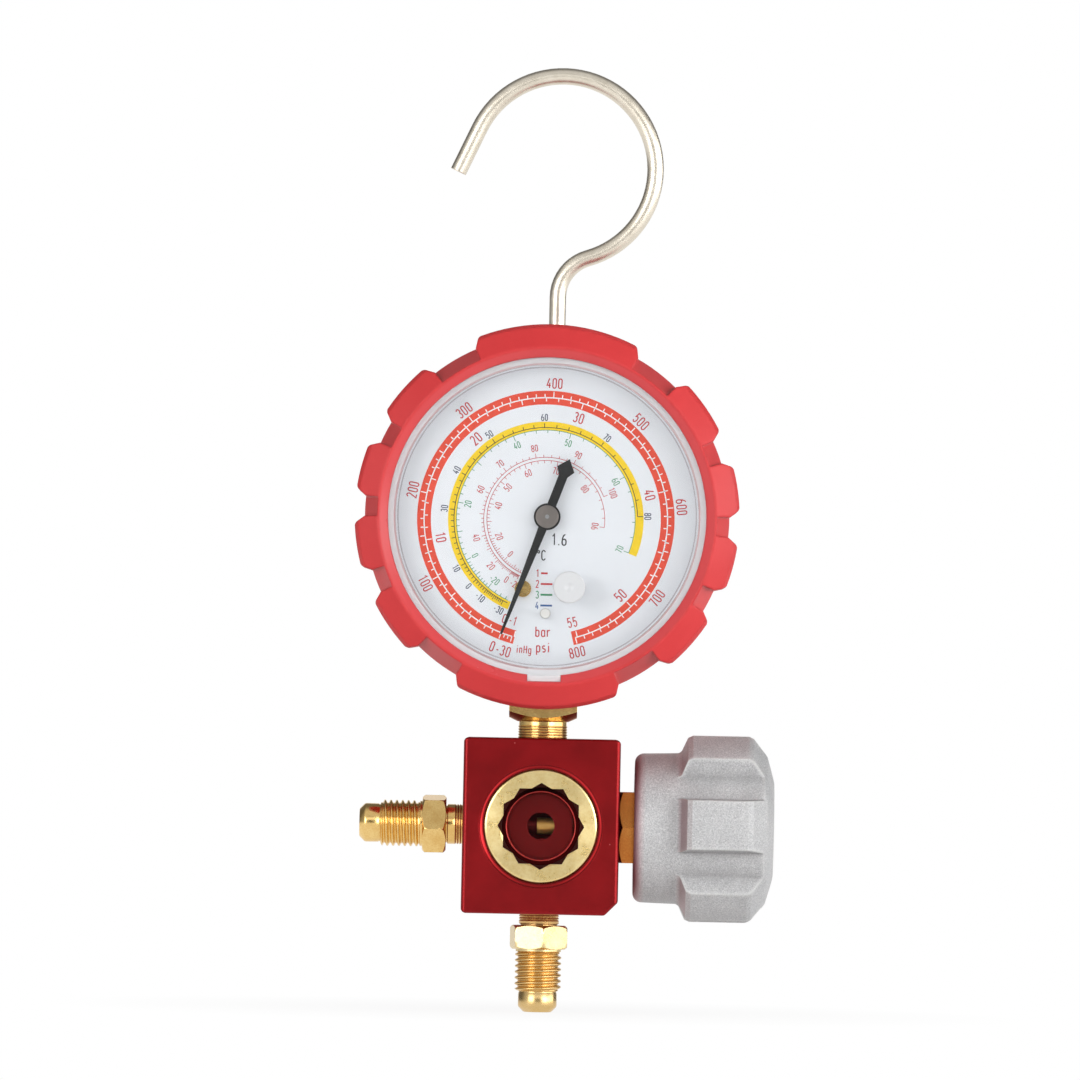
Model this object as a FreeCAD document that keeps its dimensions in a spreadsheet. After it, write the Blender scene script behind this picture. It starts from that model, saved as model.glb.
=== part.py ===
"""Single gauge manifold with a sight glass, a hand valve and a hanging hook. Millimetres.

The origin is on the block's back face, where the gauge axis (x = 0) crosses the valve axis
(z = 0). The dial faces -Y, +X is to its right and +Z is up. A depth is a distance in front of
the back face, so a depth of 10 lies at y = -10.
"""
import FreeCAD, Part

import math
import os
import re

import Sketcher

SIZES = {
    # Manifold block
    "block_width": 37.5,
    "block_height": 42.0,
    "block_front": 17.5,
    "block_corner": 1.2,
    "block_bevel": 3.2,
    "block_edge": 0.4,
    "block_side_round": 1.0,
    "port_depth": 22.5,
    "passage_radius": 2.0,
    "seat_hole_radius": 1.5,
    "thread_clearance": 0.05,
    "hex_inset": 0.05,
    # Flare fittings, 7/16-20 thread on a 12.7 hexagon
    "fitting_shank": 8.0,
    "fitting_neck_radius": 4.8,
    "left_neck": 4.0,
    "bottom_neck": 2.9,
    "fitting_hex": 12.7,
    "fitting_hex_length": 5.7,
    "fitting_hex_turn": 50.3,
    "collar_radius": 5.45,
    "collar_length": 0.6,
    "flare_thread_radius": 5.556,
    "flare_thread_length": 9.4,
    "relief_radius": 4.5,
    "relief_length": 0.5,
    "nose_radius": 4.7,
    "nose_length": 3.2,
    "nose_cone": 1.4,
    # Sight glass
    "sight_rim_radius": 14.75,
    "sight_rim_depth": 0.5,
    "sight_nut_radius": 13.75,
    "sight_nut_recess": 0.8,
    "sight_nut_length": 5.0,
    "sight_point_radius": 10.4,
    "sight_cone_radius": 9.8,
    "sight_cone_depth": 0.5,
    "sight_cone_overlap": 0.1,
    "sight_edge": 0.4,
    "sight_gasket_bore": 9.3,
    "sight_gasket_length": 0.5,
    "sight_glass_radius": 11.4,
    "sight_glass_length": 4.0,
    "sight_chamber_radius": 8.1,
    "sight_chamber_edge": 0.25,
    "sight_chamber_depth": 2.9,
    "sight_hole_radius": 3.25,
    "sight_seal_radius": 9.95,
    "sight_seal_wire": 0.6,
    # Valve
    "valve_seat": 3.5,
    "seat_gap": 0.05,
    "valve_travel": 2.5,
    "valve_chamber_radius": 3.6,
    "plunger_tip_radius": 2.0,
    "plunger_tip_length": 4.4,
    "plunger_radius": 3.2,
    "plunger_length": 5.15,
    "plunger_cup_depth": 4.0,
    "spigot_radius": 1.6,
    "stem_screw_start": 10.5,
    "stem_screw_length": 5.0,
    "stem_screw_radius": 3.9,
    "stem_radius": 3.2,
    "stem_groove_radius": 2.2,
    "stem_groove_width": 1.7,
    "stem_groove_start": 22.2,
    "stem_groove_pitch": 3.4,
    "stem_seal_play": 0.02,
    "bonnet_thread_radius": 5.6,
    "bonnet_thread_length": 11.0,
    "bonnet_screw_bore": 11.0,
    "bonnet_hex": 17.0,
    "bonnet_hex_length": 6.0,
    "bonnet_neck_radius": 6.0,
    "bonnet_neck_length": 6.2,
    "bonnet_seal_wire": 0.65,
    "bonnet_seal_radius": 6.35,
    "running_clearance": 0.05,
    # Hand knob
    "knob_gap": 3.55,
    "knob_length": 33.5,
    "knob_radius": 17.9,
    "knob_radius_top": 18.7,
    "knob_foot_round": 2.2,
    "knob_shoulder": 31.3,
    "knob_shoulder_drop": 31.8,
    "knob_shoulder_radius": 17.6,
    "knob_rim_drop": 32.9,
    "knob_rim_radius": 13.8,
    "knob_lobe_count": 6,
    "knob_lobe_radius": 22.9,
    "knob_lobe_root": 15.0,
    "knob_lobe_width": 11.5,
    "knob_lobe_flare": 0.6,
    "knob_lobe_start": 10.6,
    "knob_lobe_full": 13.2,
    "knob_lobe_end": 27.8,
    "knob_lobe_blend": 2.0,
    "knob_blend_rise": 0.8,
    "knob_blend_run": 0.6,
    "knob_lobe_edge": 0.6,
    "knob_turn_at_rest": 27.0,
    "knob_hollow_radius": 11.5,
    "knob_hollow_depth": 12.0,
    "knob_square": 5.0,
    "knob_square_length": 12.0,
    "knob_screw_radius": 1.5,
    "knob_screw_length": 9.0,
    "knob_screw_head_radius": 3.0,
    "knob_screw_head": 2.0,
    "knob_screw_play": 0.5,
    "knob_well_radius": 6.0,
    "knob_cap_radius": 11.0,
    "knob_cap_length": 1.2,
    "knob_cap_wall": 0.5,
    "knob_cap_edge": 0.4,
    # Gauge socket
    "gauge_height": 74.0,
    "socket_stem_radius": 5.75,
    "socket_stem_depth": 9.5,
    "socket_square": 16.3,
    "socket_square_start": 25.0,
    "socket_square_cone": 2.88,
    "socket_ledge": 0.4,
    "socket_passage": 1.5,
    "socket_shelf_drop": 26.5,
    "socket_top_drop": 20.0,
    "socket_front_depth": 28.5,
    "socket_tongue_depth": 20.0,
    # Gauge case, lens and boot
    "boot_back": 8.0,
    "boot_back_wall": 2.4,
    "boot_fit": 0.1,
    "boot_length": 35.0,
    "boot_wall": 3.6,
    "boot_back_lip": 15.0,
    "boot_lip": 2.0,
    "boot_lip_bevel": 2.1,
    "boot_lip_drop": 1.8,
    "boot_lip_land": 0.4,
    "boot_back_round": 3.0,
    "boot_recess_drop": 9.0,
    "boot_lobe_height": 2.4,
    "boot_lobe_drop": 3.0,
    "boot_lobe_edge": 0.8,
    "boot_lobe_edge_drop": 1.3,
    "boot_lobe_round": 1.5,
    "boot_lobe_flank": 1.2,
    "boot_lobe_shoulder": 0.24,
    "boot_lobe_crown": 1.68,
    "boot_wide_lobe_half": 25.3,
    "boot_upper_lobe_angle": 38.2,
    "boot_upper_lobe_half": 9.2,
    "boot_side_lobe_angle": 11.8,
    "boot_side_lobe_half": 7.4,
    "boot_twist": 2.3,
    "boot_notch_play": 2.2,
    "case_radius": 40.0,
    "case_wall": 0.8,
    "case_length": 27.5,
    "case_back_round": 2.0,
    "case_slot_reach": 4.0,
    "case_screw_radius": 1.5,
    "case_screw_length": 7.0,
    "case_screw_head_radius": 2.75,
    "case_screw_head": 1.8,
    "case_screw_spread": 5.0,
    "case_screw_play": 0.2,
    "case_screw_drop": 33.5,
    "lens_seal_length": 0.8,
    "lens_seal_width": 1.6,
    "lens_play": 0.1,
    "lens_flange": 1.5,
    "lens_rise": 1.2,
    "lens_border": 3.4,
    "lens_edge": 0.4,
    "lens_tab_half": 3.9,
    "lens_tab_drop": 0.7,
    "lens_plug_x": 5.6,
    "lens_plug_drop": 16.8,
    "lens_plug_radius": 3.2,
    "lens_plug_flange": 3.8,
    "lens_plug_flange_length": 0.6,
    "lens_plug_stand": 0.6,
    "lens_plug_edge": 0.2,
    "lens_plug_dimple": 1.15,
    # Dial and pointer
    "dial_depth": 33.6,
    "dial_thickness": 0.5,
    "dial_border": 1.2,
    "dial_bore": 2.5,
    "zero_screw_x": 5.45,
    "zero_screw_drop": 17.3,
    "zero_screw_radius": 1.975,
    "zero_screw_head": 0.8,
    "zero_screw_shank": 1.0,
    "zero_screw_seat": 0.5,
    "zero_slot_width": 0.5,
    "zero_slot_depth": 0.4,
    "stop_pin_drop": 23.1,
    "stop_pin_radius": 1.15,
    "stop_pin_stand": 2.6,
    "stop_pin_seat": 3.0,
    "dial_post_wall": 1.2,
    "pointer_depth": 36.0,
    "pointer_thickness": 0.4,
    "pointer_angle": 249.65,
    "pointer_length": 30.1,
    "pointer_tip_half": 0.28,
    "pointer_root_x": 2.5,
    "pointer_root_half": 1.08,
    "pointer_neck_x": 10.45,
    "pointer_neck_half": 1.1,
    "pointer_spade_x": 12.15,
    "pointer_spade_half": 2.2,
    "pointer_tail": 14.8,
    "pointer_ring_radius": 3.2,
    "pointer_hub_radius": 2.75,
    "pointer_hub_length": 1.6,
    "pointer_hub_stand": 0.6,
    "pointer_hub_step": 0.6,
    "pointer_hub_edge": 0.15,
    # Movement
    "tube_radius": 28.0,
    "tube_width": 3.0,
    "tube_height": 9.0,
    "tube_wall": 0.45,
    "tube_start": 268.0,
    "tube_end": -5.0,
    "tube_fit": 0.02,
    "tube_seat_angle": 24.0,
    "tip_wall": 0.4,
    "tip_block": 1.7,
    "tip_lug": 6.8,
    "tip_lug_front": 22.1,
    "tip_lug_back": 18.5,
    "tip_lug_margin": 0.3,
    "tip_pin_stand": 0.4,
    "pin_root": 0.5,
    "pivot_pin_radius": 0.6,
    "tip_pivot_angle": -15.0,
    "plate_thickness": 1.0,
    "plate_bottom": 24.6,
    "plate_bottom_half": 8.0,
    "plate_right": 16.5,
    "plate_left": 11.5,
    "plate_top": 11.5,
    "plate_step": 4.0,
    "plate_corner": 3.0,
    "plate_screw_spread": 5.0,
    "plate_screw_drop": 22.4,
    "plate_screw_radius": 0.8,
    "plate_screw_length": 3.0,
    "plate_screw_head_radius": 1.5,
    "plate_screw_head": 0.8,
    "pillar_radius": 1.6,
    "left_pillar_x": -8.5,
    "left_pillar_rise": 8.0,
    "right_pillar_x": 12.5,
    "right_pillar_rise": 5.5,
    "gear_module": 0.4,
    "sector_teeth": 80.0,
    "pinion_teeth": 10.0,
    "sector_gap_count": 13,
    "sector_gaps_above": 2.5,
    "sector_rim_before": 0.6,
    "sector_rim_after": 2.1,
    "sector_window_wall": 2.2,
    "sector_pin_stand": 0.3,
    "mesh_angle": 130.0,
    "gear_addendum": 0.35,
    "gear_dedendum": 0.52,
    "gear_tip_margin": 0.01,
    "gear_root_margin": 0.3,
    "tooth_half_at_pitch": 0.21,
    "tooth_half_at_tip": 0.12,
    "tooth_half_at_root": 0.27,
    "sector_back": 23.5,
    "sector_thickness": 2.0,
    "sector_rim": 2.6,
    "sector_hub": 2.6,
    "sector_arm_angle": 9.0,
    "tail_angle": -25.0,
    "tail_length": 9.0,
    "tail_half": 1.1,
    "tail_boss": 1.5,
    "arbor_radius": 1.0,
    "journal_radius": 0.8,
    "pinion_back": 23.0,
    "pinion_length": 3.0,
    "pointer_arbor_radius": 0.9,
    "arbor_tip_radius": 0.5,
    "arbor_play": 0.1,
    "link_back": 22.3,
    "link_thickness": 1.0,
    "link_half": 0.7,
    "link_eye": 1.5,
    "link_loose_eye": 2.0,
    "link_loose_bore": 1.25,
    "spring_depth": 27.0,
    "spring_height": 0.6,
    "spring_strip": 0.2,
    "spring_pitch": 1.2,
    "spring_half_turns": 7,
    "collet_radius": 1.7,
    # Hanging hook
    "hook_rod_radius": 2.0,
    "hook_x": 1.5,
    "hook_depth": 5.0,
    "hook_hole_depth": 14.0,
    "hook_centre_x": 2.1,
    "hook_centre_height": 158.6,
    "hook_radius": 22.4,
    "hook_neck_radius": 10.0,
    "hook_end_angle": 155.0,
    "hook_tip": 11.7,
    "hook_groove_radius": 1.5,
    "hook_groove_width": 2.6,
    "hook_foot_gap": 0.3,
    "grub_play": 0.1,
    "grub_height": 14.0,
    "grub_radius": 2.0,
    "grub_recess": 0.2,
    "grub_tip_radius": 1.1,
    "grub_socket_radius": 1.0,
    "grub_socket_depth": 1.2,
    # Reach of a cut past the surface it opens, and of one shape into the next
    "cut_margin": 1.0,
    "overlap": 0.001,
}

document = FreeCAD.newDocument("GaugeManifold")
sheet = document.addObject("Spreadsheet::Sheet", "Sizes")
for row, (alias, size) in enumerate(SIZES.items(), start=1):
    sheet.set(f"A{row}", alias)
    sheet.set(f"B{row}", str(size))
    sheet.setAlias(f"B{row}", alias)
document.recompute()

WORD = re.compile(r"[a-z][a-z_0-9]*")
UPRIGHT = FreeCAD.Rotation()
FACING_FRONT = FreeCAD.Rotation(FreeCAD.Vector(1, 0, 0), 90)
POINTING_RIGHT = FreeCAD.Rotation(FreeCAD.Vector(0, 1, 0), 90)
POINTING_LEFT = FreeCAD.Rotation(FreeCAD.Vector(0, 1, 0), -90)
POINTING_DOWN = FreeCAD.Rotation(FreeCAD.Vector(1, 0, 0), 180)
pieces = []


def value(expression):
    """The number that an expression over the sheet's aliases gives now."""
    return float(sheet.evalExpression(str(expression)))


def linked(expression):
    """The same expression as another object has to write it."""
    return WORD.sub(lambda word: f"Sizes.{word[0]}" if word[0] in SIZES else word[0], str(expression))


def bind(thing, **properties):
    """Ties properties of an object to the sheet. A double underscore stands for a point."""
    for name, expression in properties.items():
        thing.setExpression(name.replace("__", "."), linked(expression))


def place(thing, rotation, x="0", y="0", z="0"):
    """Turns an object and ties its position to the sheet."""
    at = FreeCAD.Vector(value(x), value(y), value(z))
    thing.Placement = FreeCAD.Placement(at, rotation)
    bind(thing, Placement__Base__x=x, Placement__Base__y=y, Placement__Base__z=z)


def turned(rotation, degrees):
    """A rotation about a piece's own Z axis, followed by the one that stands it up."""
    return rotation.multiply(FreeCAD.Rotation(FreeCAD.Vector(0, 0, 1), value(degrees)))


def sub_part(thing, name):
    """Gives an object its name as a separate piece of the assembly."""
    thing.Label = name
    pieces.append(thing)
    return thing


def new_body(name, rotation=UPRIGHT, x="0", y="0", z="0"):
    body = document.addObject("PartDesign::Body", name)
    place(body, rotation, x, y, z)
    return sub_part(body, name)


def new_sketch(body, role, lift="0", slide="0"):
    """A sketch on one of the body's own planes, lifted off it and slid along its second axis."""
    sketch = body.newObject("Sketcher::SketchObject", f"{body.Label}_sketch")
    plane = next(each for each in body.Origin.OriginFeatures if each.Role == role)
    sketch.AttachmentSupport = [(plane, "")]
    sketch.MapMode = "FlatFace"
    bind(sketch, AttachmentOffset__Base__z=lift, AttachmentOffset__Base__y=slide)
    return sketch


def arc_between(start, end, radius):
    """A minor arc. A positive radius turns to the left on the way, a negative one to the right."""
    half = (end - start) * 0.5
    across = FreeCAD.Vector(-half.y, half.x, 0)
    height = math.sqrt(max(radius * radius - half.Length ** 2, 0.0))
    side = 1 if radius > 0 else -1
    centre = start + half + across * (side * height / half.Length)
    circle = Part.Circle(centre, FreeCAD.Vector(0, 0, 1), abs(radius))
    first, last = (start, end) if radius > 0 else (end, start)
    angles = [math.atan2(point.y - centre.y, point.x - centre.x) for point in (first, last)]
    return Part.ArcOfCircle(circle, angles[0], angles[1])


def draw_path(sketch, corners, closed=True):
    """Draws lines and arcs through corners that are tied to the sheet.

    A corner is (x, y), or (x, y, radius) where an arc leads on to the next one.
    """
    first = sketch.GeometryCount
    points = [FreeCAD.Vector(value(corner[0]), value(corner[1]), 0) for corner in corners]
    count = len(corners) if closed else len(corners) - 1
    shapes = []
    ends = []
    for index in range(count):
        start = points[index]
        end = points[(index + 1) % len(points)]
        radius = value(corners[index][2]) if len(corners[index]) > 2 else 0
        if radius:
            shapes.append(arc_between(start, end, radius))
        else:
            shapes.append(Part.LineSegment(start, end))
        ends.append((1, 2) if radius >= 0 else (2, 1))
    sketch.addGeometry(shapes, False)
    constraints = []
    ties = []
    for index, corner in enumerate(corners):
        if index < count:
            edge, spot = first + index, ends[index][0]
        else:
            edge, spot = first + count - 1, ends[count - 1][1]
        for kind, axis, expression, now in (
            ("DistanceX", -2, corner[0], points[index].x),
            ("DistanceY", -1, corner[1], points[index].y),
        ):
            if str(expression) == "0":
                constraints.append(Sketcher.Constraint("PointOnObject", edge, spot, axis))
            else:
                ties.append((len(constraints), expression))
                constraints.append(Sketcher.Constraint(kind, edge, spot, now))
        if len(corner) > 2:
            ties.append((len(constraints), f"abs({corner[2]})"))
            constraints.append(Sketcher.Constraint("Radius", edge, abs(value(corner[2]))))
        if closed or 0 < index < count:
            before = (index - 1) % count
            joined = (first + before, ends[before][1], edge, spot)
            constraints.append(Sketcher.Constraint("Coincident", *joined))
    tie(sketch, constraints, ties)


def draw_circle(sketch, radius, x="0", y="0"):
    """Draws a circle whose centre and radius are tied to the sheet."""
    centre = FreeCAD.Vector(value(x), value(y), 0)
    edge = sketch.addGeometry(Part.Circle(centre, FreeCAD.Vector(0, 0, 1), value(radius)), False)
    constraints = [Sketcher.Constraint("Radius", edge, value(radius))]
    ties = [(0, radius)]
    for kind, axis, expression, now in (("DistanceX", -2, x, centre.x), ("DistanceY", -1, y, centre.y)):
        if str(expression) == "0":
            constraints.append(Sketcher.Constraint("PointOnObject", edge, 3, axis))
        else:
            ties.append((len(constraints), expression))
            constraints.append(Sketcher.Constraint(kind, edge, 3, now))
    tie(sketch, constraints, ties)


def tie(sketch, constraints, ties):
    numbers = sketch.addConstraint(constraints)
    for index, expression in ties:
        sketch.setExpression(f"Constraints[{numbers[index]}]", linked(expression))


def polygon(count, flat_radius, turn="0"):
    """Corners of a regular polygon from the radius to its flats."""
    corners = []
    for index in range(count):
        angle = f"({turn} + {360 * (index + 0.5) / count})"
        reach = f"({flat_radius}) / cos({180 / count})"
        corners.append((f"{reach} * cos({angle})", f"{reach} * sin({angle})"))
    return corners


def rectangle(left, bottom, right, top):
    return [(left, bottom), (right, bottom), (right, top), (left, top)]


def pad(body, sketch, length, backwards=False):
    feature = body.newObject("PartDesign::Pad", f"{body.Label}_pad")
    feature.Profile = sketch
    feature.Reversed = backwards
    bind(feature, Length=length)
    return feature


def pocket(body, sketch, length, backwards=False):
    feature = body.newObject("PartDesign::Pocket", f"{body.Label}_pocket")
    feature.Profile = sketch
    feature.Reversed = backwards
    bind(feature, Length=length)
    return feature


def spin(body, kind, sketch, axis="V_Axis", angle="360", backwards=False):
    """A Revolution or a Groove about one of the sketch's own axes."""
    feature = body.newObject(f"PartDesign::{kind}", f"{body.Label}_{kind.lower()}")
    feature.Profile = sketch
    feature.ReferenceAxis = (sketch, [axis])
    feature.Reversed = backwards
    bind(feature, Angle=angle)
    return feature


def turned_body(name, profile, rotation=UPRIGHT, x="0", y="0", z="0"):
    """A body turned on a lathe: a closed profile of (radius, height along its own Z)."""
    body = new_body(name, rotation, x, y, z)
    sketch = new_sketch(body, "XZ_Plane")
    draw_path(sketch, profile)
    spin(body, "Revolution", sketch)
    return body


def lathe_cut(body, profile):
    sketch = new_sketch(body, "XZ_Plane")
    draw_path(sketch, profile)
    return spin(body, "Groove", sketch)


def pattern(body, feature, count, angle):
    """Repeats a feature about the body's own Z axis."""
    axis = next(each for each in body.Origin.OriginFeatures if each.Role == "Z_Axis")
    copies = body.newObject("PartDesign::PolarPattern", f"{body.Label}_pattern")
    copies.Originals = [feature]
    copies.Axis = (axis, [""])
    bind(copies, Angle=angle, Occurrences=count)
    body.Tip = copies
    return copies


def soften(body, kind, size, chosen):
    """A Fillet or a Chamfer on the edges of the body's tip that a test picks."""
    document.recompute()
    tip = body.Tip
    names = [f"Edge{number}" for number, edge in enumerate(tip.Shape.Edges, start=1) if chosen(edge)]
    feature = body.newObject(f"PartDesign::{kind}", f"{body.Label}_{kind.lower()}")
    feature.Base = (tip, names)
    bind(feature, **{"Radius" if kind == "Fillet" else "Size": size})
    return feature


def cylinder(name, radius, height, rotation=UPRIGHT, x="0", y="0", z="0"):
    thing = document.addObject("Part::Cylinder", name)
    bind(thing, Radius=radius, Height=height)
    place(thing, rotation, x, y, z)
    return thing


def box(name, sizes, rotation=UPRIGHT, x="0", y="0", z="0"):
    thing = document.addObject("Part::Box", name)
    bind(thing, Length=sizes[0], Width=sizes[1], Height=sizes[2])
    place(thing, rotation, x, y, z)
    return thing


def ring(name, radius, wire, rotation, x="0", y="0", z="0"):
    thing = document.addObject("Part::Torus", name)
    bind(thing, Radius1=radius, Radius2=wire)
    place(thing, rotation, x, y, z)
    return thing


def fused(name, shapes):
    thing = document.addObject("Part::MultiFuse", name)
    thing.Shapes = shapes
    return thing


def drilled(name, base, tool):
    thing = document.addObject("Part::Cut", name)
    thing.Base = base
    thing.Tool = tool
    return thing


def group(name, shapes):
    """Separate solids of one kind that share a node."""
    thing = document.addObject("Part::Compound", name)
    thing.Links = shapes
    return sub_part(thing, name)


def screw(name, radius, length, head_radius, head, rotation, x, y, z):
    """A plain screw whose head's underside is at the given point and whose shank runs along +Z."""
    shank = cylinder(f"{name}_shank", radius, f"{length} + {head}", rotation)
    cap = cylinder(f"{name}_cap", head_radius, head, rotation)
    under = rotation.multVec(FreeCAD.Vector(0, 0, 1))
    for solid in (shank, cap):
        shift = [f"{axis} - ({head}) * {part}" for axis, part in zip((x, y, z), under)]
        place(solid, rotation, *shift)
    return fused(name, [shank, cap])


# Manifold block: a rectangular bar, bevelled at one corner, bored from five sides
half_width = "block_width / 2"
half_height = "block_height / 2"
block_depth = "(port_depth + block_front)"
nut_front = f"({block_depth} - sight_nut_recess)"
nut_back = f"({nut_front} - sight_nut_length)"
glass_front = f"({nut_back} - sight_gasket_length)"
glass_back = f"({glass_front} - sight_glass_length)"
chamber_back = f"({glass_back} - sight_chamber_depth)"
bonnet_start = "(block_width / 2 - bonnet_thread_length)"
seal_pocket = "(2 * bonnet_seal_wire + thread_clearance)"

block = new_body("manifold_block")
outline = new_sketch(block, "XZ_Plane")
draw_path(outline, [
    (f"-{half_width}", f"-{half_height}"),
    (f"{half_width} - block_bevel", f"-{half_height}"),
    (half_width, f"-{half_height} + block_bevel"),
    (half_width, half_height),
    (f"-{half_width}", half_height),
])
pad(block, outline, block_depth)
soften(block, "Fillet", "block_corner", lambda edge: abs(edge.tangentAt(0).y) > 0.9)
soften(block, "Chamfer", "block_edge", lambda edge: edge.BoundBox.YLength < 0.001)

for side in ("", "-"):
    side_round = new_sketch(block, "XY_Plane", lift=half_height)
    turn = "block_side_round" if side else "-block_side_round"
    draw_path(side_round, [
        (f"{side}({half_width})", f"block_side_round - {block_depth}", turn),
        (f"{side}({half_width} - block_side_round)", f"-{block_depth}"),
        (f"{side}({half_width} + cut_margin)", f"-{block_depth}"),
        (f"{side}({half_width} + cut_margin)", f"block_side_round - {block_depth}"),
    ])
    pocket(block, side_round, "block_height")

sight_bore = new_sketch(block, "XY_Plane")
sight_steps = [
    ("sight_rim_radius", f"{block_depth} - sight_rim_depth"),
    ("sight_nut_radius + thread_clearance", nut_back),
    ("sight_glass_radius + thread_clearance", glass_back),
    ("sight_chamber_radius", chamber_back),
    ("sight_hole_radius", "port_depth"),
]
profile = [("0", f"-{block_depth} - cut_margin")]
level = f"{block_depth} + cut_margin"
for radius, floor in sight_steps:
    profile += [(radius, f"-({level})"), (radius, f"-({floor})")]
    level = floor
profile.append(("0", "-port_depth"))
draw_path(sight_bore, profile)
spin(block, "Groove", sight_bore)
chamber_edge = new_sketch(block, "XY_Plane")
draw_path(chamber_edge, [
    ("sight_chamber_radius - overlap", f"-{glass_back} - overlap"),
    ("sight_chamber_radius + sight_chamber_edge", f"-{glass_back} - overlap"),
    ("sight_chamber_radius + sight_chamber_edge", f"-{glass_back}"),
    ("sight_chamber_radius", f"-{glass_back} + sight_chamber_edge"),
    ("sight_chamber_radius - overlap", f"-{glass_back} + sight_chamber_edge"),
])
spin(block, "Groove", chamber_edge)

seal_groove = new_sketch(block, "XY_Plane")
draw_path(seal_groove, rectangle(
    "sight_seal_radius - sight_seal_wire - thread_clearance",
    f"-{glass_back} - overlap",
    "sight_seal_radius + sight_seal_wire + thread_clearance",
    f"-{glass_back} + 2 * sight_seal_wire + thread_clearance",
))
spin(block, "Groove", seal_groove)

valve_bore = new_sketch(block, "XY_Plane", slide="-port_depth")
draw_path(valve_bore, [
    (f"{half_width} + cut_margin", "0"),
    (f"{half_width} + cut_margin", "bonnet_seal_radius + bonnet_seal_wire + thread_clearance"),
    (f"{half_width} - {seal_pocket}", "bonnet_seal_radius + bonnet_seal_wire + thread_clearance"),
    (f"{half_width} - {seal_pocket}", "bonnet_thread_radius + thread_clearance"),
    (f"{bonnet_start} - thread_clearance", "bonnet_thread_radius + thread_clearance"),
    (f"{bonnet_start} - thread_clearance", "valve_chamber_radius"),
    ("-valve_seat", "valve_chamber_radius"),
    ("-valve_seat", "seat_hole_radius"),
    (f"-{half_width} + fitting_shank", "seat_hole_radius"),
    (f"-{half_width} + fitting_shank", "fitting_neck_radius + thread_clearance"),
    (f"-{half_width} - cut_margin", "fitting_neck_radius + thread_clearance"),
    (f"-{half_width} - cut_margin", "0"),
])
spin(block, "Groove", valve_bore, axis="H_Axis")

upright_bore = new_sketch(block, "XZ_Plane", lift="port_depth")
draw_path(upright_bore, [
    ("0", f"{half_height} + cut_margin"),
    ("socket_stem_radius + thread_clearance", f"{half_height} + cut_margin"),
    ("socket_stem_radius + thread_clearance", f"{half_height} - socket_stem_depth"),
    ("passage_radius", f"{half_height} - socket_stem_depth"),
    ("passage_radius", f"-{half_height} + fitting_shank"),
    ("fitting_neck_radius + thread_clearance", f"-{half_height} + fitting_shank"),
    ("fitting_neck_radius + thread_clearance", f"-{half_height} - cut_margin"),
    ("0", f"-{half_height} - cut_margin"),
])
spin(block, "Groove", upright_bore)

hook_hole = new_sketch(block, "XY_Plane", lift=half_height)
draw_circle(hook_hole, "hook_rod_radius + running_clearance", "hook_x", "-hook_depth")
pocket(block, hook_hole, "hook_hole_depth")

grub_hole = new_sketch(block, "XZ_Plane")
draw_circle(grub_hole, "grub_radius + thread_clearance", "hook_x", "grub_height")
pocket(block, grub_hole, "hook_depth", backwards=True)


def turn_off_corners(body, across_flats, start, end):
    """Cuts the corners of a hexagon back at 30 degrees at both of its ends."""
    outside = f"({across_flats} / 2 / cos(30) + cut_margin)"
    inside = f"({across_flats} / 2 - hex_inset)"
    drop = f"({outside} - {inside}) * tan(30)"
    lathe_cut(body, [(inside, end), (outside, end), (outside, f"{end} - {drop}")])
    lathe_cut(body, [(inside, start), (outside, start), (outside, f"{start} + {drop}")])


def flare_fitting(name, neck, rotation, x, z):
    """A male flare fitting. Its own Z runs outwards from the block's face."""
    hex_end = f"({neck} + fitting_hex_length)"
    collar_end = f"({hex_end} + collar_length)"
    thread_end = f"({collar_end} + flare_thread_length)"
    relief_end = f"({thread_end} + relief_length)"
    nose_end = f"({relief_end} + nose_length)"
    body = turned_body(name, [
        ("passage_radius", "-fitting_shank"),
        ("fitting_neck_radius", "-fitting_shank"),
        ("fitting_neck_radius", hex_end),
        ("collar_radius", hex_end),
        ("collar_radius", collar_end),
        ("flare_thread_radius", collar_end),
        ("flare_thread_radius", thread_end),
        ("relief_radius", thread_end),
        ("relief_radius", relief_end),
        ("nose_radius", relief_end),
        ("nose_radius", nose_end),
        ("nose_radius - nose_cone", f"{nose_end} + nose_cone"),
        ("passage_radius", f"{nose_end} + nose_cone"),
    ], rotation, x, "-port_depth", z)
    hexagon_sketch = new_sketch(body, "XY_Plane", lift=neck)
    draw_path(hexagon_sketch, polygon(6, "fitting_hex / 2", "fitting_hex_turn"))
    draw_circle(hexagon_sketch, "passage_radius")
    pad(body, hexagon_sketch, "fitting_hex_length")
    turn_off_corners(body, "fitting_hex", neck, hex_end)


flare_fitting("left_hose_fitting", "left_neck", POINTING_LEFT, f"-{half_width}", "0")
flare_fitting("bottom_hose_fitting", "bottom_neck", POINTING_DOWN, "0", f"-{half_height}")

# Sight glass, held by a ring nut with a twelve-point socket
nut = turned_body("sight_glass_nut", [
    ("0", nut_back),
    ("sight_nut_radius", nut_back),
    ("sight_nut_radius", f"{nut_front} - sight_edge"),
    ("sight_nut_radius - sight_edge", nut_front),
    ("0", nut_front),
], FACING_FRONT)
star = []
star_valley = "sight_point_radius * cos(30) / cos(15)"
for index in range(24):
    reach = "sight_point_radius" if index % 2 == 0 else star_valley
    star.append((f"{reach} * cos({15 * index})", f"{reach} * sin({15 * index})"))
star_sketch = new_sketch(nut, "XY_Plane", lift=nut_front)
draw_path(star_sketch, star)
pocket(nut, star_sketch, "sight_nut_length")
lathe_cut(nut, [
    ("0", nut_front),
    ("sight_cone_radius", nut_front),
    (f"{star_valley} - sight_cone_overlap", f"{nut_front} - sight_cone_depth"),
    ("0", f"{nut_front} - sight_cone_depth"),
])

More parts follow.
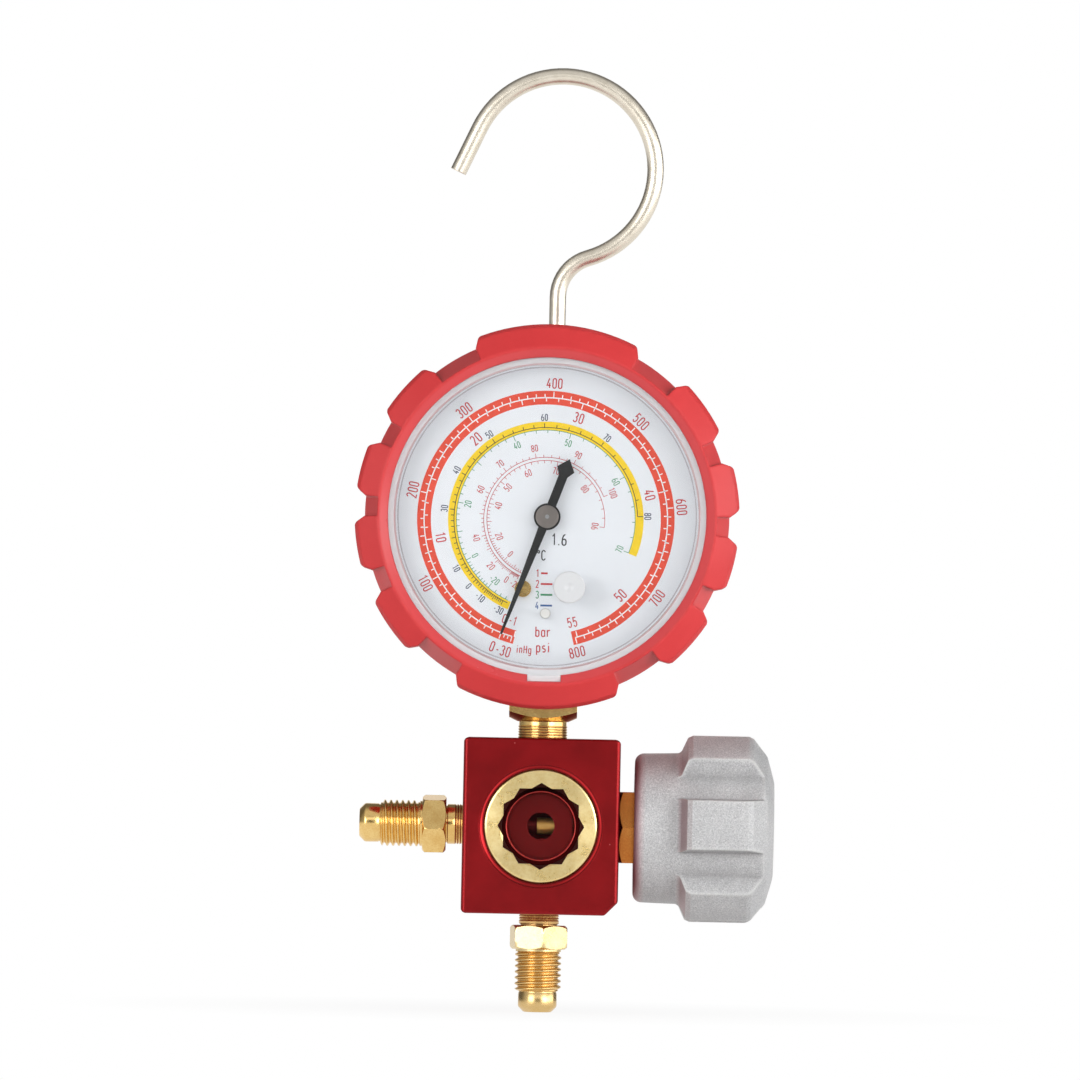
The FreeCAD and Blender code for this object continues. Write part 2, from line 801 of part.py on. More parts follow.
turned_body("sight_gasket", rectangle(
    "sight_gasket_bore", glass_front, "sight_glass_radius", nut_back,
), FACING_FRONT)
turned_body("sight_glass", [
    ("0", glass_back),
    ("sight_glass_radius", glass_back),
    ("sight_glass_radius", f"{glass_front} - sight_edge"),
    ("sight_glass_radius - sight_edge", glass_front),
    ("0", glass_front),
], FACING_FRONT)
sub_part(ring(
    "sight_seal", "sight_seal_radius", "sight_seal_wire", FACING_FRONT,
    y=f"-({glass_back} - sight_seal_wire)",
), "sight_seal")

# Valve: the plunger slides, and the stem turns in it and in the bonnet
plunger_front = "(-valve_seat + seat_gap + valve_travel)"
plunger_back = f"({plunger_front} + plunger_tip_length + plunger_length)"
bonnet_end = f"({half_width} + bonnet_hex_length + bonnet_neck_length)"
knob_start = f"({half_width} + knob_gap)"
knob_seat = f"({knob_start} + knob_hollow_depth)"
stem_end = f"({knob_seat} + knob_square_length)"
screw_bore_end = f"({bonnet_start} + bonnet_screw_bore)"

turned_body("valve_plunger", [
    ("0", plunger_front),
    ("plunger_tip_radius", plunger_front),
    ("plunger_tip_radius", f"{plunger_front} + plunger_tip_length"),
    ("plunger_radius", f"{plunger_front} + plunger_tip_length"),
    ("plunger_radius", plunger_back),
    ("spigot_radius + running_clearance", plunger_back),
    ("spigot_radius + running_clearance", f"{plunger_back} - plunger_cup_depth"),
    ("0", f"{plunger_back} - plunger_cup_depth"),
], POINTING_RIGHT, y="-port_depth")

stem = turned_body("valve_stem", [
    ("0", f"{plunger_back} - plunger_cup_depth + running_clearance"),
    ("spigot_radius", f"{plunger_back} - plunger_cup_depth + running_clearance"),
    ("spigot_radius", "stem_screw_start"),
    ("stem_screw_radius", "stem_screw_start"),
    ("stem_screw_radius", "stem_screw_start + stem_screw_length"),
    ("stem_radius", "stem_screw_start + stem_screw_length"),
    ("stem_radius", knob_seat),
    ("knob_screw_radius", knob_seat),
    ("0", knob_seat),
], POINTING_RIGHT, y="-port_depth")
square_sketch = new_sketch(stem, "XY_Plane", lift=knob_seat)
draw_path(square_sketch, polygon(4, "knob_square / 2", "knob_turn_at_rest"))
pad(stem, square_sketch, "knob_square_length")
for index in range(2):
    groove_start = f"(stem_groove_start + {index} * stem_groove_pitch)"
    lathe_cut(stem, rectangle(
        "stem_groove_radius", groove_start, "stem_radius + cut_margin", f"{groove_start} + stem_groove_width",
    ))
lathe_cut(stem, rectangle(
    "0", f"{stem_end} - knob_screw_length - knob_screw_play",
    "knob_screw_radius + thread_clearance", f"{stem_end} + cut_margin",
))

stem_seal_wire = "((stem_radius + running_clearance - stem_groove_radius) / 2 - stem_seal_play)"
group("stem_seals", [
    ring(
        f"stem_seal_{index}", "(stem_radius + running_clearance + stem_groove_radius) / 2", stem_seal_wire,
        POINTING_RIGHT, x=f"stem_groove_start + {index} * stem_groove_pitch + stem_groove_width / 2",
        y="-port_depth",
    )
    for index in range(2)
])

bonnet = turned_body("valve_bonnet", [
    ("stem_screw_radius + running_clearance", bonnet_start),
    ("bonnet_thread_radius", bonnet_start),
    ("bonnet_thread_radius", f"{half_width} + bonnet_hex_length"),
    ("bonnet_neck_radius", f"{half_width} + bonnet_hex_length"),
    ("bonnet_neck_radius", bonnet_end),
    ("stem_radius + running_clearance", bonnet_end),
    ("stem_radius + running_clearance", screw_bore_end),
    ("stem_screw_radius + running_clearance", screw_bore_end),
], POINTING_RIGHT, y="-port_depth")
bonnet_hexagon = new_sketch(bonnet, "XY_Plane", lift=half_width)
draw_path(bonnet_hexagon, polygon(6, "bonnet_hex / 2", "60"))
draw_circle(bonnet_hexagon, "stem_radius + running_clearance")
pad(bonnet, bonnet_hexagon, "bonnet_hex_length")
turn_off_corners(bonnet, "bonnet_hex", half_width, f"({half_width} + bonnet_hex_length)")

sub_part(ring(
    "bonnet_seal", "bonnet_seal_radius", "bonnet_seal_wire", POINTING_RIGHT,
    x=f"{half_width} - bonnet_seal_wire - thread_clearance / 2", y="-port_depth",
), "bonnet_seal")

# Hand knob: a cast cup with six drafted lobes, a square seat and a screw under a plain cap
knob_rotation = turned(POINTING_RIGHT, "knob_turn_at_rest")
knob = turned_body("hand_knob", [
    ("0", "0"),
    ("knob_radius - knob_foot_round", "0", "knob_foot_round"),
    ("knob_radius", "knob_foot_round"),
    ("knob_radius_top", "knob_shoulder"),
    ("knob_shoulder_radius", "knob_shoulder_drop"),
    ("knob_rim_radius", "knob_rim_drop"),
    ("knob_cap_radius + knob_cap_wall", "knob_length"),
    ("0", "knob_length"),
], knob_rotation, knob_start, "-port_depth")
lobe_sketch = new_sketch(knob, "XY_Plane", lift="knob_lobe_start - knob_lobe_blend")
draw_path(lobe_sketch, [
    ("knob_lobe_root", "-knob_lobe_width / 2 - knob_lobe_flare"),
    ("knob_radius", "-knob_lobe_width / 2 - knob_lobe_flare"),
    ("knob_lobe_radius + cut_margin", "-knob_lobe_width / 2"),
    ("knob_lobe_radius + cut_margin", "knob_lobe_width / 2"),
    ("knob_radius", "knob_lobe_width / 2 + knob_lobe_flare"),
    ("knob_lobe_root", "knob_lobe_width / 2 + knob_lobe_flare"),
])
lobe = pad(knob, lobe_sketch, "knob_length - knob_lobe_start + knob_lobe_blend")
pattern(knob, lobe, "knob_lobe_count", "360")
foot_slope = "(knob_radius_top - knob_radius) / (knob_shoulder - knob_foot_round)"
foot_height = "(knob_lobe_start - knob_lobe_blend / 2)"
foot_radius = f"(knob_radius + ({foot_height} - knob_foot_round) * {foot_slope})"
lathe_cut(knob, [
    (foot_radius, f"{foot_height} - knob_lobe_blend"),
    (foot_radius, foot_height, "-knob_lobe_blend"),
    (f"{foot_radius} + knob_blend_rise", "knob_lobe_start + knob_blend_run"),
    ("knob_lobe_radius - knob_lobe_edge", "knob_lobe_full - knob_lobe_edge"),
    ("knob_lobe_radius", "knob_lobe_full + knob_lobe_edge"),
    ("knob_lobe_radius", "knob_lobe_end - knob_lobe_edge"),
    ("knob_lobe_radius - knob_lobe_edge", "knob_lobe_end + knob_lobe_edge"),
    ("knob_shoulder_radius", "knob_shoulder_drop"),
    ("knob_rim_radius", "knob_rim_drop"),
    ("knob_cap_radius + knob_cap_wall", "knob_length"),
    ("knob_lobe_radius + 3 * cut_margin", "knob_length"),
    ("knob_lobe_radius + 3 * cut_margin", f"{foot_height} - knob_lobe_blend"),
])
knob_well = "(knob_hollow_depth + knob_square_length + knob_screw_play)"
lathe_cut(knob, rectangle("0", "-cut_margin", "knob_hollow_radius", "knob_hollow_depth"))
lathe_cut(knob, [
    ("0", knob_well),
    ("knob_well_radius", knob_well),
    ("knob_well_radius", "knob_length - knob_cap_length"),
    ("knob_cap_radius + thread_clearance", "knob_length - knob_cap_length"),
    ("knob_cap_radius + thread_clearance", "knob_length + cut_margin"),
    ("0", "knob_length + cut_margin"),
])
socket_sketch = new_sketch(knob, "XY_Plane", lift="knob_hollow_depth")
draw_path(socket_sketch, polygon(4, "knob_square / 2 + thread_clearance"))
pocket(knob, socket_sketch, "knob_square_length + cut_margin", backwards=True)

sub_part(screw(
    "knob_screw", "knob_screw_radius", "knob_screw_length", "knob_screw_head_radius", "knob_screw_head",
    POINTING_LEFT, f"{stem_end} + knob_screw_play", "-port_depth", "0",
), "knob_screw")
turned_body("knob_cap", [
    ("0", "knob_length - knob_cap_length"),
    ("knob_cap_radius", "knob_length - knob_cap_length"),
    ("knob_cap_radius", "knob_length - knob_cap_edge"),
    ("knob_cap_radius - knob_cap_edge", "knob_length"),
    ("0", "knob_length"),
], POINTING_RIGHT, knob_start, "-port_depth")

# Gauge socket: a square brass block with a threaded stem, the tube's seat and the movement's shelf
case_back = "(boot_back + boot_back_wall + boot_fit)"
case_floor = f"({case_back} + case_wall)"
case_front = f"({case_back} + case_length)"
half_square = "(socket_square / 2)"
shelf_start = f"(gauge_height - sqrt((case_radius - case_back_round)^2 - {half_square}^2) + thread_clearance)"
tube_outer = "(tube_radius + tube_width / 2)"
tube_inner = "(tube_radius - tube_width / 2)"

socket_shelf = "(gauge_height - socket_shelf_drop)"

socket = turned_body("gauge_socket", [
    ("0", f"{half_height} - socket_stem_depth"),
    ("socket_stem_radius", f"{half_height} - socket_stem_depth"),
    ("socket_stem_radius", shelf_start),
    ("0", shelf_start),
], y="-port_depth")
square = new_sketch(socket, "XY_Plane", lift="socket_square_start")
draw_path(square, rectangle(f"-{half_square}", f"-{half_square}", half_square, half_square))
pad(socket, square, f"{shelf_start} - socket_square_start")
lathe_cut(socket, [
    ("socket_stem_radius + socket_ledge", "socket_square_start"),
    (f"{half_square} * sqrt(2) + cut_margin", "socket_square_start"),
    (f"{half_square} * sqrt(2) + cut_margin", "socket_square_start + socket_square_cone"),
])
shelf = new_sketch(socket, "XY_Plane", lift=shelf_start)
draw_path(shelf, rectangle(
    f"-{half_square}", "port_depth - socket_front_depth", half_square, f"port_depth - {case_floor}",
))
pad(socket, shelf, f"{socket_shelf} - {shelf_start}")
tongue = new_sketch(socket, "XY_Plane", lift=socket_shelf)
draw_path(tongue, rectangle(
    f"-{half_square}", "port_depth - socket_front_depth", half_square, "port_depth - socket_tongue_depth",
))
pad(socket, tongue, "socket_shelf_drop - socket_top_drop")
tube_seat = new_sketch(socket, "YZ_Plane", slide="gauge_height")
draw_path(tube_seat, rectangle(
    "-tube_height / 2 - tube_fit", f"-{tube_outer} - tube_fit",
    "tube_height / 2 + tube_fit", f"-{tube_inner} + tube_fit",
))
spin(socket, "Groove", tube_seat, axis="H_Axis", angle="tube_seat_angle")
bore = new_sketch(socket, "XY_Plane", lift=f"{half_height} - socket_stem_depth")
draw_circle(bore, "socket_passage")
pocket(socket, bore, f"gauge_height - tube_radius - {half_height} + socket_stem_depth", backwards=True)
for side in (-1, 1):
    hole = new_sketch(socket, "XZ_Plane", lift=f"{case_floor} - port_depth")
    draw_circle(hole, "case_screw_radius + thread_clearance", f"{side} * case_screw_spread",
                "gauge_height - case_screw_drop")
    pocket(socket, hole, "case_screw_length", backwards=True)

# Gauge case: a drawn steel cup around the movement
case = turned_body("gauge_case", [
    ("0", case_back),
    ("case_radius - case_back_round", case_back, "case_back_round"),
    ("case_radius", f"{case_back} + case_back_round"),
    ("case_radius", case_front),
    ("case_radius - case_wall", case_front),
    ("case_radius - case_wall", f"{case_floor} + case_back_round - case_wall", "case_wall - case_back_round"),
    ("case_radius - case_back_round", case_floor),
    ("0", case_floor),
], FACING_FRONT, z="gauge_height")
case_slot = new_sketch(case, "XZ_Plane", lift="case_radius - case_slot_reach")
draw_path(case_slot, rectangle(
    f"-{half_square} - thread_clearance", f"port_depth - {half_square} - thread_clearance",
    f"{half_square} + thread_clearance", f"port_depth + {half_square} + thread_clearance",
))
pocket(case, case_slot, "case_slot_reach + 2 * cut_margin", backwards=True)
for side in (-1, 1):
    hole = new_sketch(case, "XY_Plane", lift=case_floor)
    draw_circle(hole, "case_screw_radius + thread_clearance", f"{side} * case_screw_spread",
                "-case_screw_drop")
    pocket(case, hole, "case_wall + cut_margin")

group("case_screws", [
    screw(
        f"case_screw_{index}", "case_screw_radius", "case_screw_length + case_wall - case_screw_play",
        "case_screw_head_radius", "case_screw_head", FACING_FRONT,
        f"{side} * case_screw_spread", f"-{case_back}", "gauge_height - case_screw_drop",
    )
    for index, side in enumerate((-1, 1))
])

# Lens, its seal and the plug over the adjusting hole
lens_back = f"({case_front} + lens_seal_length)"
lens_flange_front = f"({lens_back} + lens_flange)"
lens_front = f"({lens_flange_front} + lens_rise)"
lens_radius = "(case_radius - lens_play)"
window_radius = "(case_radius - lens_border)"
turned_body("lens_seal", rectangle(
    f"{lens_radius} - lens_seal_width", case_front, lens_radius, lens_back,
), FACING_FRONT, z="gauge_height")
lens = turned_body("lens", [
    ("0", lens_back),
    (lens_radius, lens_back),
    (lens_radius, lens_flange_front),
    (window_radius, lens_flange_front),
    (window_radius, f"{lens_front} - lens_edge"),
    (f"{window_radius} - lens_edge", lens_front),
    ("0", lens_front),
], FACING_FRONT, z="gauge_height")
lens_tab = new_sketch(lens, "XY_Plane", lift=lens_flange_front)
draw_path(lens_tab, rectangle(
    "-lens_tab_half", "lens_tab_drop - case_radius",
    "lens_tab_half", "2 * lens_edge - case_radius + lens_border",
))
pad(lens, lens_tab, "lens_rise")
plug_hole = new_sketch(lens, "XY_Plane", lift=lens_front)
draw_circle(plug_hole, "lens_plug_radius + running_clearance", "lens_plug_x", "-lens_plug_drop")
pocket(lens, plug_hole, "lens_flange + lens_rise")
turned_body("lens_plug", [
    ("0", f"{lens_back} - lens_plug_stand"),
    ("lens_plug_radius - lens_plug_edge", f"{lens_back} - lens_plug_stand"),
    ("lens_plug_radius", f"{lens_back} - lens_plug_stand + lens_plug_edge"),
    ("lens_plug_radius", f"{lens_front} + seat_gap"),
    ("lens_plug_flange", f"{lens_front} + seat_gap"),
    ("lens_plug_flange", f"{lens_front} + lens_plug_flange_length - lens_plug_edge"),
    ("lens_plug_flange - lens_plug_edge", f"{lens_front} + lens_plug_flange_length"),
    ("lens_plug_dimple", f"{lens_front} + lens_plug_flange_length"),
    ("0", f"{lens_front} + lens_plug_edge"),
], FACING_FRONT, "lens_plug_x", z="gauge_height - lens_plug_drop")

# Rubber boot: a turned cup with grip lobes around its rim, slipped over the case and the lens
boot_front = "(boot_back + boot_length)"
boot_bore = "(case_radius + boot_fit)"
boot_radius = "(case_radius + boot_wall)"
lobe_radius = f"({boot_radius} + boot_lobe_height)"
lip_radius = "(case_radius - boot_lip)"
crest_radius = f"({lip_radius} + boot_lip_bevel)"
slope_radius = f"({crest_radius} + boot_lip_land)"
back_opening = "(case_radius - boot_back_lip)"
boot = turned_body("rubber_boot", [
    (back_opening, "boot_back"),
    (f"{boot_radius} - boot_back_round", "boot_back", "boot_back_round"),
    (boot_radius, "boot_back + boot_back_round"),
    (boot_radius, f"{boot_front} - boot_recess_drop"),
    (slope_radius, boot_front),
    (crest_radius, boot_front),
    (lip_radius, f"{boot_front} - boot_lip_drop"),
    (lip_radius, f"{lens_flange_front} + boot_fit"),
    (boot_bore, f"{lens_flange_front} + boot_fit"),
    (boot_bore, f"{case_back} - boot_fit"),
    (back_opening, f"{case_back} - boot_fit"),
], turned(FACING_FRONT, "-boot_twist"), z="gauge_height")


def boot_lobe(centre, half):
    """One grip lobe, from inside the boot's wall to the lobes' radius, with sloping flanks."""
    corners = []
    for radius, shift, arc in (
        (f"{slope_radius} - boot_lip_land / 2", "-{half} - boot_lobe_flank", None),
        (boot_radius, "-{half} - boot_lobe_flank", None),
        (f"{lobe_radius} - boot_lobe_edge", "-{half} + boot_lobe_shoulder", "boot_lobe_round"),
        (lobe_radius, "-{half} + boot_lobe_crown", lobe_radius),
        (lobe_radius, "{half} - boot_lobe_crown", "boot_lobe_round"),
        (f"{lobe_radius} - boot_lobe_edge", "{half} - boot_lobe_shoulder", None),
        (boot_radius, "{half} + boot_lobe_flank", None),
        (f"{slope_radius} - boot_lip_land / 2", "{half} + boot_lobe_flank",
         f"-({slope_radius} - boot_lip_land / 2)"),
    ):
        angle = f"({centre} + ({shift.format(half=half)}))"
        corner = (f"({radius}) * cos({angle})", f"({radius}) * sin({angle})")
        corners.append(corner + (arc,) if arc else corner)
    sketch = new_sketch(boot, "XY_Plane", lift="boot_back")
    draw_path(sketch, corners)
    return pad(boot, sketch, "boot_length")


for centre, half in (
    ("90", "boot_wide_lobe_half"),
    ("boot_upper_lobe_angle", "boot_upper_lobe_half"),
    ("(180 - boot_upper_lobe_angle)", "boot_upper_lobe_half"),
    ("boot_side_lobe_angle", "boot_side_lobe_half"),
    ("(180 - boot_side_lobe_angle)", "boot_side_lobe_half"),
):
    pattern(boot, boot_lobe(centre, half), "2", "360")
lathe_cut(boot, [
    (slope_radius, boot_front),
    (f"{lobe_radius} - boot_lobe_edge", f"{boot_front} - boot_lobe_drop"),
    (lobe_radius, f"{boot_front} - boot_lobe_drop - boot_lobe_edge_drop"),
    (f"{lobe_radius} + cut_margin", f"{boot_front} - boot_lobe_drop - boot_lobe_edge_drop"),
    (f"{lobe_radius} + cut_margin", f"{boot_front} + cut_margin"),
    (slope_radius, f"{boot_front} + cut_margin"),
])
lathe_cut(boot, [
    (f"{boot_radius} - boot_back_round", "boot_back - cut_margin"),
    (f"{boot_radius} - boot_back_round", "boot_back", "boot_back_round"),
    (boot_radius, "boot_back + boot_back_round"),
    (f"{lobe_radius} + cut_margin", "boot_back + boot_back_round"),
    (f"{lobe_radius} + cut_margin", "boot_back - cut_margin"),
])
boot_notch = new_sketch(boot, "XZ_Plane", lift=f"{back_opening} - cut_margin")
draw_path(boot_notch, rectangle(
    f"-{half_square} - boot_notch_play", "boot_back - cut_margin",
    f"{half_square} + boot_notch_play", f"port_depth + {half_square} + boot_notch_play",
))
pocket(boot, boot_notch, f"{lobe_radius} - {back_opening} + 2 * cut_margin", backwards=True)

# Notch in the boot's lip for the lens's tab, turned back by the boot's twist
tab_notch = new_sketch(boot, "XY_Plane", lift=boot_front)
notch_corners = rectangle(
    "-(lens_tab_half + boot_fit)", "-(case_radius - lens_tab_drop + boot_fit)",
    "(lens_tab_half + boot_fit)", "-(case_radius - boot_lip - cut_margin)",
)
draw_path(tab_notch, [
    (f"{x} * cos(boot_twist) - {z} * sin(boot_twist)", f"{x} * sin(boot_twist) + {z} * cos(boot_twist)")
    for x, z in notch_corners
])
pocket(boot, tab_notch, f"{boot_front} - {lens_flange_front}")

# Dial, its posts and screws
dial_back = "(dial_depth - dial_thickness)"
front_plate_face = "(socket_front_depth + plate_thickness)"
dial = new_body("dial_plate", FACING_FRONT, z="gauge_height")
dial_sketch = new_sketch(dial, "XY_Plane", lift=dial_back)
draw_circle(dial_sketch, "case_radius - dial_border")
draw_circle(dial_sketch, "dial_bore")
draw_circle(dial_sketch, "zero_screw_shank + running_clearance", "-zero_screw_x", "-zero_screw_drop")
draw_circle(dial_sketch, "stop_pin_radius + running_clearance", "0", "-stop_pin_drop")
pad(dial, dial_sketch, "dial_thickness")


def dial_post(name, bore_radius, x, drop):
    length = f"{dial_back} - {front_plate_face}"
    at = {"x": x, "y": f"-{front_plate_face}", "z": f"gauge_height - {drop}"}
    outer = cylinder(f"{name}_outer", f"{bore_radius} + dial_post_wall", length, FACING_FRONT, **at)
    inner = cylinder(f"{name}_inner", bore_radius, length, FACING_FRONT, **at)
    return drilled(name, outer, inner)


group("dial_posts", [
    dial_post("zero_post", "(zero_screw_shank + running_clearance)", "-zero_screw_x", "zero_screw_drop"),
    dial_post("stop_post", "(stop_pin_radius + running_clearance)", "0", "stop_pin_drop"),
])
sub_part(cylinder(
    "stop_pin", "stop_pin_radius", "dial_depth + stop_pin_stand - socket_front_depth + stop_pin_seat",
    FACING_FRONT, y="-socket_front_depth + stop_pin_seat", z="gauge_height - stop_pin_drop",
), "stop_pin")
zero_screw = turned_body("zero_screw", [
    ("0", "socket_front_depth - zero_screw_seat"),
    ("zero_screw_shank", "socket_front_depth - zero_screw_seat"),
    ("zero_screw_shank", "dial_depth + seat_gap"),
    ("zero_screw_radius", "dial_depth + seat_gap"),
    ("zero_screw_radius", "dial_depth + zero_screw_head"),
    ("0", "dial_depth + zero_screw_head"),
], FACING_FRONT, "-zero_screw_x", z="gauge_height - zero_screw_drop")
slot = new_sketch(zero_screw, "XY_Plane", lift="dial_depth + zero_screw_head")
draw_path(slot, rectangle(
    "-zero_screw_radius - cut_margin", "-zero_slot_width / 2",
    "zero_screw_radius + cut_margin", "zero_slot_width / 2",
))
pocket(zero_screw, slot, "zero_slot_depth")

pin_hole = new_sketch(socket, "XZ_Plane", lift="socket_front_depth - port_depth")
draw_circle(pin_hole, "stop_pin_radius + thread_clearance", "0", "gauge_height - stop_pin_drop")
pocket(socket, pin_hole, "stop_pin_seat")

# Pointer on the pinion's arbor
pointer_rotation = turned(FACING_FRONT, "pointer_angle")
blade = new_body("pointer_blade", pointer_rotation, z="gauge_height")
blade_sketch = new_sketch(blade, "XY_Plane", lift="pointer_depth")
draw_path(blade_sketch, [
    ("pointer_length", "-pointer_tip_half"),
    ("pointer_length", "pointer_tip_half"),
    ("pointer_root_x", "pointer_root_half"),
    ("-pointer_neck_x", "pointer_neck_half"),
    ("-pointer_spade_x", "pointer_spade_half"),
    ("-pointer_tail", "0"),
    ("-pointer_spade_x", "-pointer_spade_half"),
    ("-pointer_neck_x", "-pointer_neck_half"),
    ("pointer_root_x", "-pointer_root_half"),
])
pad(blade, blade_sketch, "pointer_thickness")
ring_sketch = new_sketch(blade, "XY_Plane", lift="pointer_depth")
draw_circle(ring_sketch, "pointer_ring_radius")
pad(blade, ring_sketch, "pointer_thickness")
eye_sketch = new_sketch(blade, "XY_Plane", lift="pointer_depth + pointer_thickness")
draw_circle(eye_sketch, "pointer_hub_radius - pointer_hub_step")
pocket(blade, eye_sketch, "pointer_thickness + cut_margin")

hub_back = "(pointer_depth + pointer_thickness - pointer_hub_length)"
hub_front = "(pointer_depth + pointer_thickness + pointer_hub_stand)"
turned_body("pointer_hub", [
    ("arbor_tip_radius", hub_back),
    ("pointer_hub_radius - pointer_hub_step", hub_back),
    ("pointer_hub_radius - pointer_hub_step", "pointer_depth + pointer_thickness"),
    ("pointer_hub_radius", "pointer_depth + pointer_thickness"),
    ("pointer_hub_radius", f"{hub_front} - pointer_hub_edge"),
    ("pointer_hub_radius - pointer_hub_edge", hub_front),
    ("arbor_tip_radius", hub_front),
], pointer_rotation, z="gauge_height")

# Movement: two plates on the socket's tongue, a toothed sector and a pinion
pinion_pitch = "(gear_module * pinion_teeth / 2)"
sector_pitch = "(gear_module * sector_teeth / 2)"
centre_distance = f"({pinion_pitch} + {sector_pitch})"
sector_x = f"(-{centre_distance} * cos(mesh_angle))"
sector_drop = f"({centre_distance} * sin(mesh_angle))"
back_plate_back = "(socket_tongue_depth - plate_thickness)"


def movement_plate(name, back, holes):
    """A plate whose outline wraps the tongue's screws, both arbors and the pillars."""
    body = new_body(name, FACING_FRONT, z="gauge_height")
    sketch = new_sketch(body, "XY_Plane", lift=back)
    draw_path(sketch, [
        ("-plate_bottom_half", "-plate_bottom"),
        ("plate_bottom_half", "-plate_bottom"),
        ("plate_right", f"-{sector_drop} - plate_step"),
        ("plate_right", "plate_top - plate_corner"),
        ("plate_right - plate_corner", "plate_top"),
        ("-plate_left", "plate_top"),
        ("-plate_left", f"-{sector_drop} + plate_step"),
    ])
    for radius, x, y in holes:
        draw_circle(sketch, radius, x, y)
    pad(body, sketch, "plate_thickness")
    return body


screw_holes = [
    ("plate_screw_radius + thread_clearance", f"{side} * plate_screw_spread", "-plate_screw_drop")
    for side in (-1, 1)
]
arbor_hole = ("journal_radius + running_clearance", sector_x, f"-{sector_drop}")
movement_plate("movement_back_plate", back_plate_back, screw_holes + [
    arbor_hole, ("journal_radius + running_clearance", "0", "0"),
])
movement_plate("movement_front_plate", "socket_front_depth", screw_holes + [
    arbor_hole,
    ("pointer_arbor_radius + running_clearance", "0", "0"),
    ("zero_screw_shank + running_clearance", "-zero_screw_x", "-zero_screw_drop"),
    ("stop_pin_radius + running_clearance", "0", "-stop_pin_drop"),
])
group("movement_pillars", [
    cylinder(
        f"pillar_{index}", "pillar_radius", "socket_front_depth - socket_tongue_depth", FACING_FRONT,
        x, "-socket_tongue_depth", f"gauge_height + {rise}",
    )
    for index, (x, rise) in enumerate((
        ("left_pillar_x", "left_pillar_rise"), ("right_pillar_x", "right_pillar_rise"),
    ))
])
FACING_BACK = FreeCAD.Rotation(FreeCAD.Vector(1, 0, 0), -90)
plate_screws = []
for index, side in enumerate((-1, 1)):
    for name, rotation, depth in (
        ("back", FACING_FRONT, back_plate_back), ("front", FACING_BACK, front_plate_face),
    ):
        plate_screws.append(screw(
            f"plate_screw_{name}_{index}", "plate_screw_radius", "plate_screw_length",
            "plate_screw_head_radius", "plate_screw_head", rotation,
            f"{side} * plate_screw_spread", f"-{depth}", "gauge_height - plate_screw_drop",
        ))
group("movement_screws", plate_screws)
for side in (-1, 1):
    hole = new_sketch(socket, "XZ_Plane", lift="socket_front_depth - port_depth")
    draw_circle(hole, "plate_screw_radius + thread_clearance", f"{side} * plate_screw_spread",
                "gauge_height - plate_screw_drop")
    pocket(socket, hole, "socket_front_depth - socket_tongue_depth")

# Bourdon tube: a flattened C-shaped tube, seated in the socket at one end
tube = new_body("bourdon_tube", turned(FACING_FRONT, "tube_start"), y="-port_depth", z="gauge_height")
tube_sketch = new_sketch(tube, "XZ_Plane")
for inset, sign in (("0", 1), ("tube_wall", -1)):
    inner = f"(tube_radius - tube_width / 2 + {inset})"
    outer = f"(tube_radius + tube_width / 2 - {inset})"
    flat = "(tube_height / 2 - tube_width / 2)"
    bend = f"(tube_width / 2 - {inset} + overlap)"
    draw_path(tube_sketch, [
        (inner, f"-{flat}", bend),
        (outer, f"-{flat}"),
        (outer, flat, bend),
        (inner, flat),
    ])
spin(tube, "Revolution", tube_sketch, angle="tube_start - tube_end", backwards=True)

tip_rotation = turned(FACING_FRONT, "tube_end")
tip_x = "(tube_radius - tube_width / 2 - tip_wall)"
tip_pivot = "(tube_end - tip_pivot_angle)"
tip_block_box = box(
    "tip_block", ("tube_width + 2 * tip_wall", "tip_block", "tube_height + 2 * tip_wall"),
)
tip_lug_box = box(
    "tip_lug",
    ("tube_width + 2 * (tip_wall + tip_lug_margin)", "tip_lug - tip_block", "tip_lug_front - tip_lug_back"),
)
tip_pin = cylinder(
    "tip_pin", "pivot_pin_radius", "link_back + link_thickness + tip_pin_stand - tip_lug_front + pin_root",
)
for solid, along, across, depth in (
    (tip_block_box, tip_x, "-tip_block", "port_depth - tube_height / 2 - tip_wall"),
    (tip_lug_box, f"{tip_x} - 2 * tip_lug_margin", "-tip_lug", "tip_lug_back"),
    (
        tip_pin, f"tube_radius * cos({tip_pivot})", f"-tube_radius * sin({tip_pivot})",
        "tip_lug_front - pin_root",
    ),
):
    place(
        solid, tip_rotation,
        f"({along}) * cos(tube_end) - ({across}) * sin(tube_end)",
        f"-({depth})",
        f"gauge_height + ({along}) * sin(tube_end) + ({across}) * cos(tube_end)",
    )
sub_part(fused("tube_tip", [tip_block_box, tip_lug_box, tip_pin]), "tube_tip")

# Toothed sector, its arbor and its tail, which the link pushes
sector_height = f"(gauge_height - {sector_drop})"
sector = new_body("sector_gear", FACING_FRONT, sector_x, z=sector_height)
gap_pitch = "(360 / sector_teeth)"
first_gap = f"(mesh_angle - {gap_pitch} * (sector_gap_count - sector_gaps_above))"
rim_start = f"({first_gap} - sector_rim_before * {gap_pitch})"
rim_end = f"(mesh_angle + {gap_pitch} * sector_rim_after)"
rim_radius = f"({sector_pitch} + gear_addendum)"
root_radius = f"({sector_pitch} - gear_dedendum)"
wedge = new_sketch(sector, "XY_Plane", lift="sector_back")
draw_path(wedge, [
    ("0", "0"),
    (f"{rim_radius} * cos({rim_start})", f"{rim_radius} * sin({rim_start})", rim_radius),
    (f"{rim_radius} * cos({rim_end})", f"{rim_radius} * sin({rim_end})"),
])
pad(sector, wedge, "sector_thickness")
hub_sketch = new_sketch(sector, "XY_Plane", lift="sector_back")
draw_circle(hub_sketch, "sector_hub")
pad(sector, hub_sketch, "sector_thickness")
tail_sketch = new_sketch(sector, "XY_Plane", lift="sector_back")
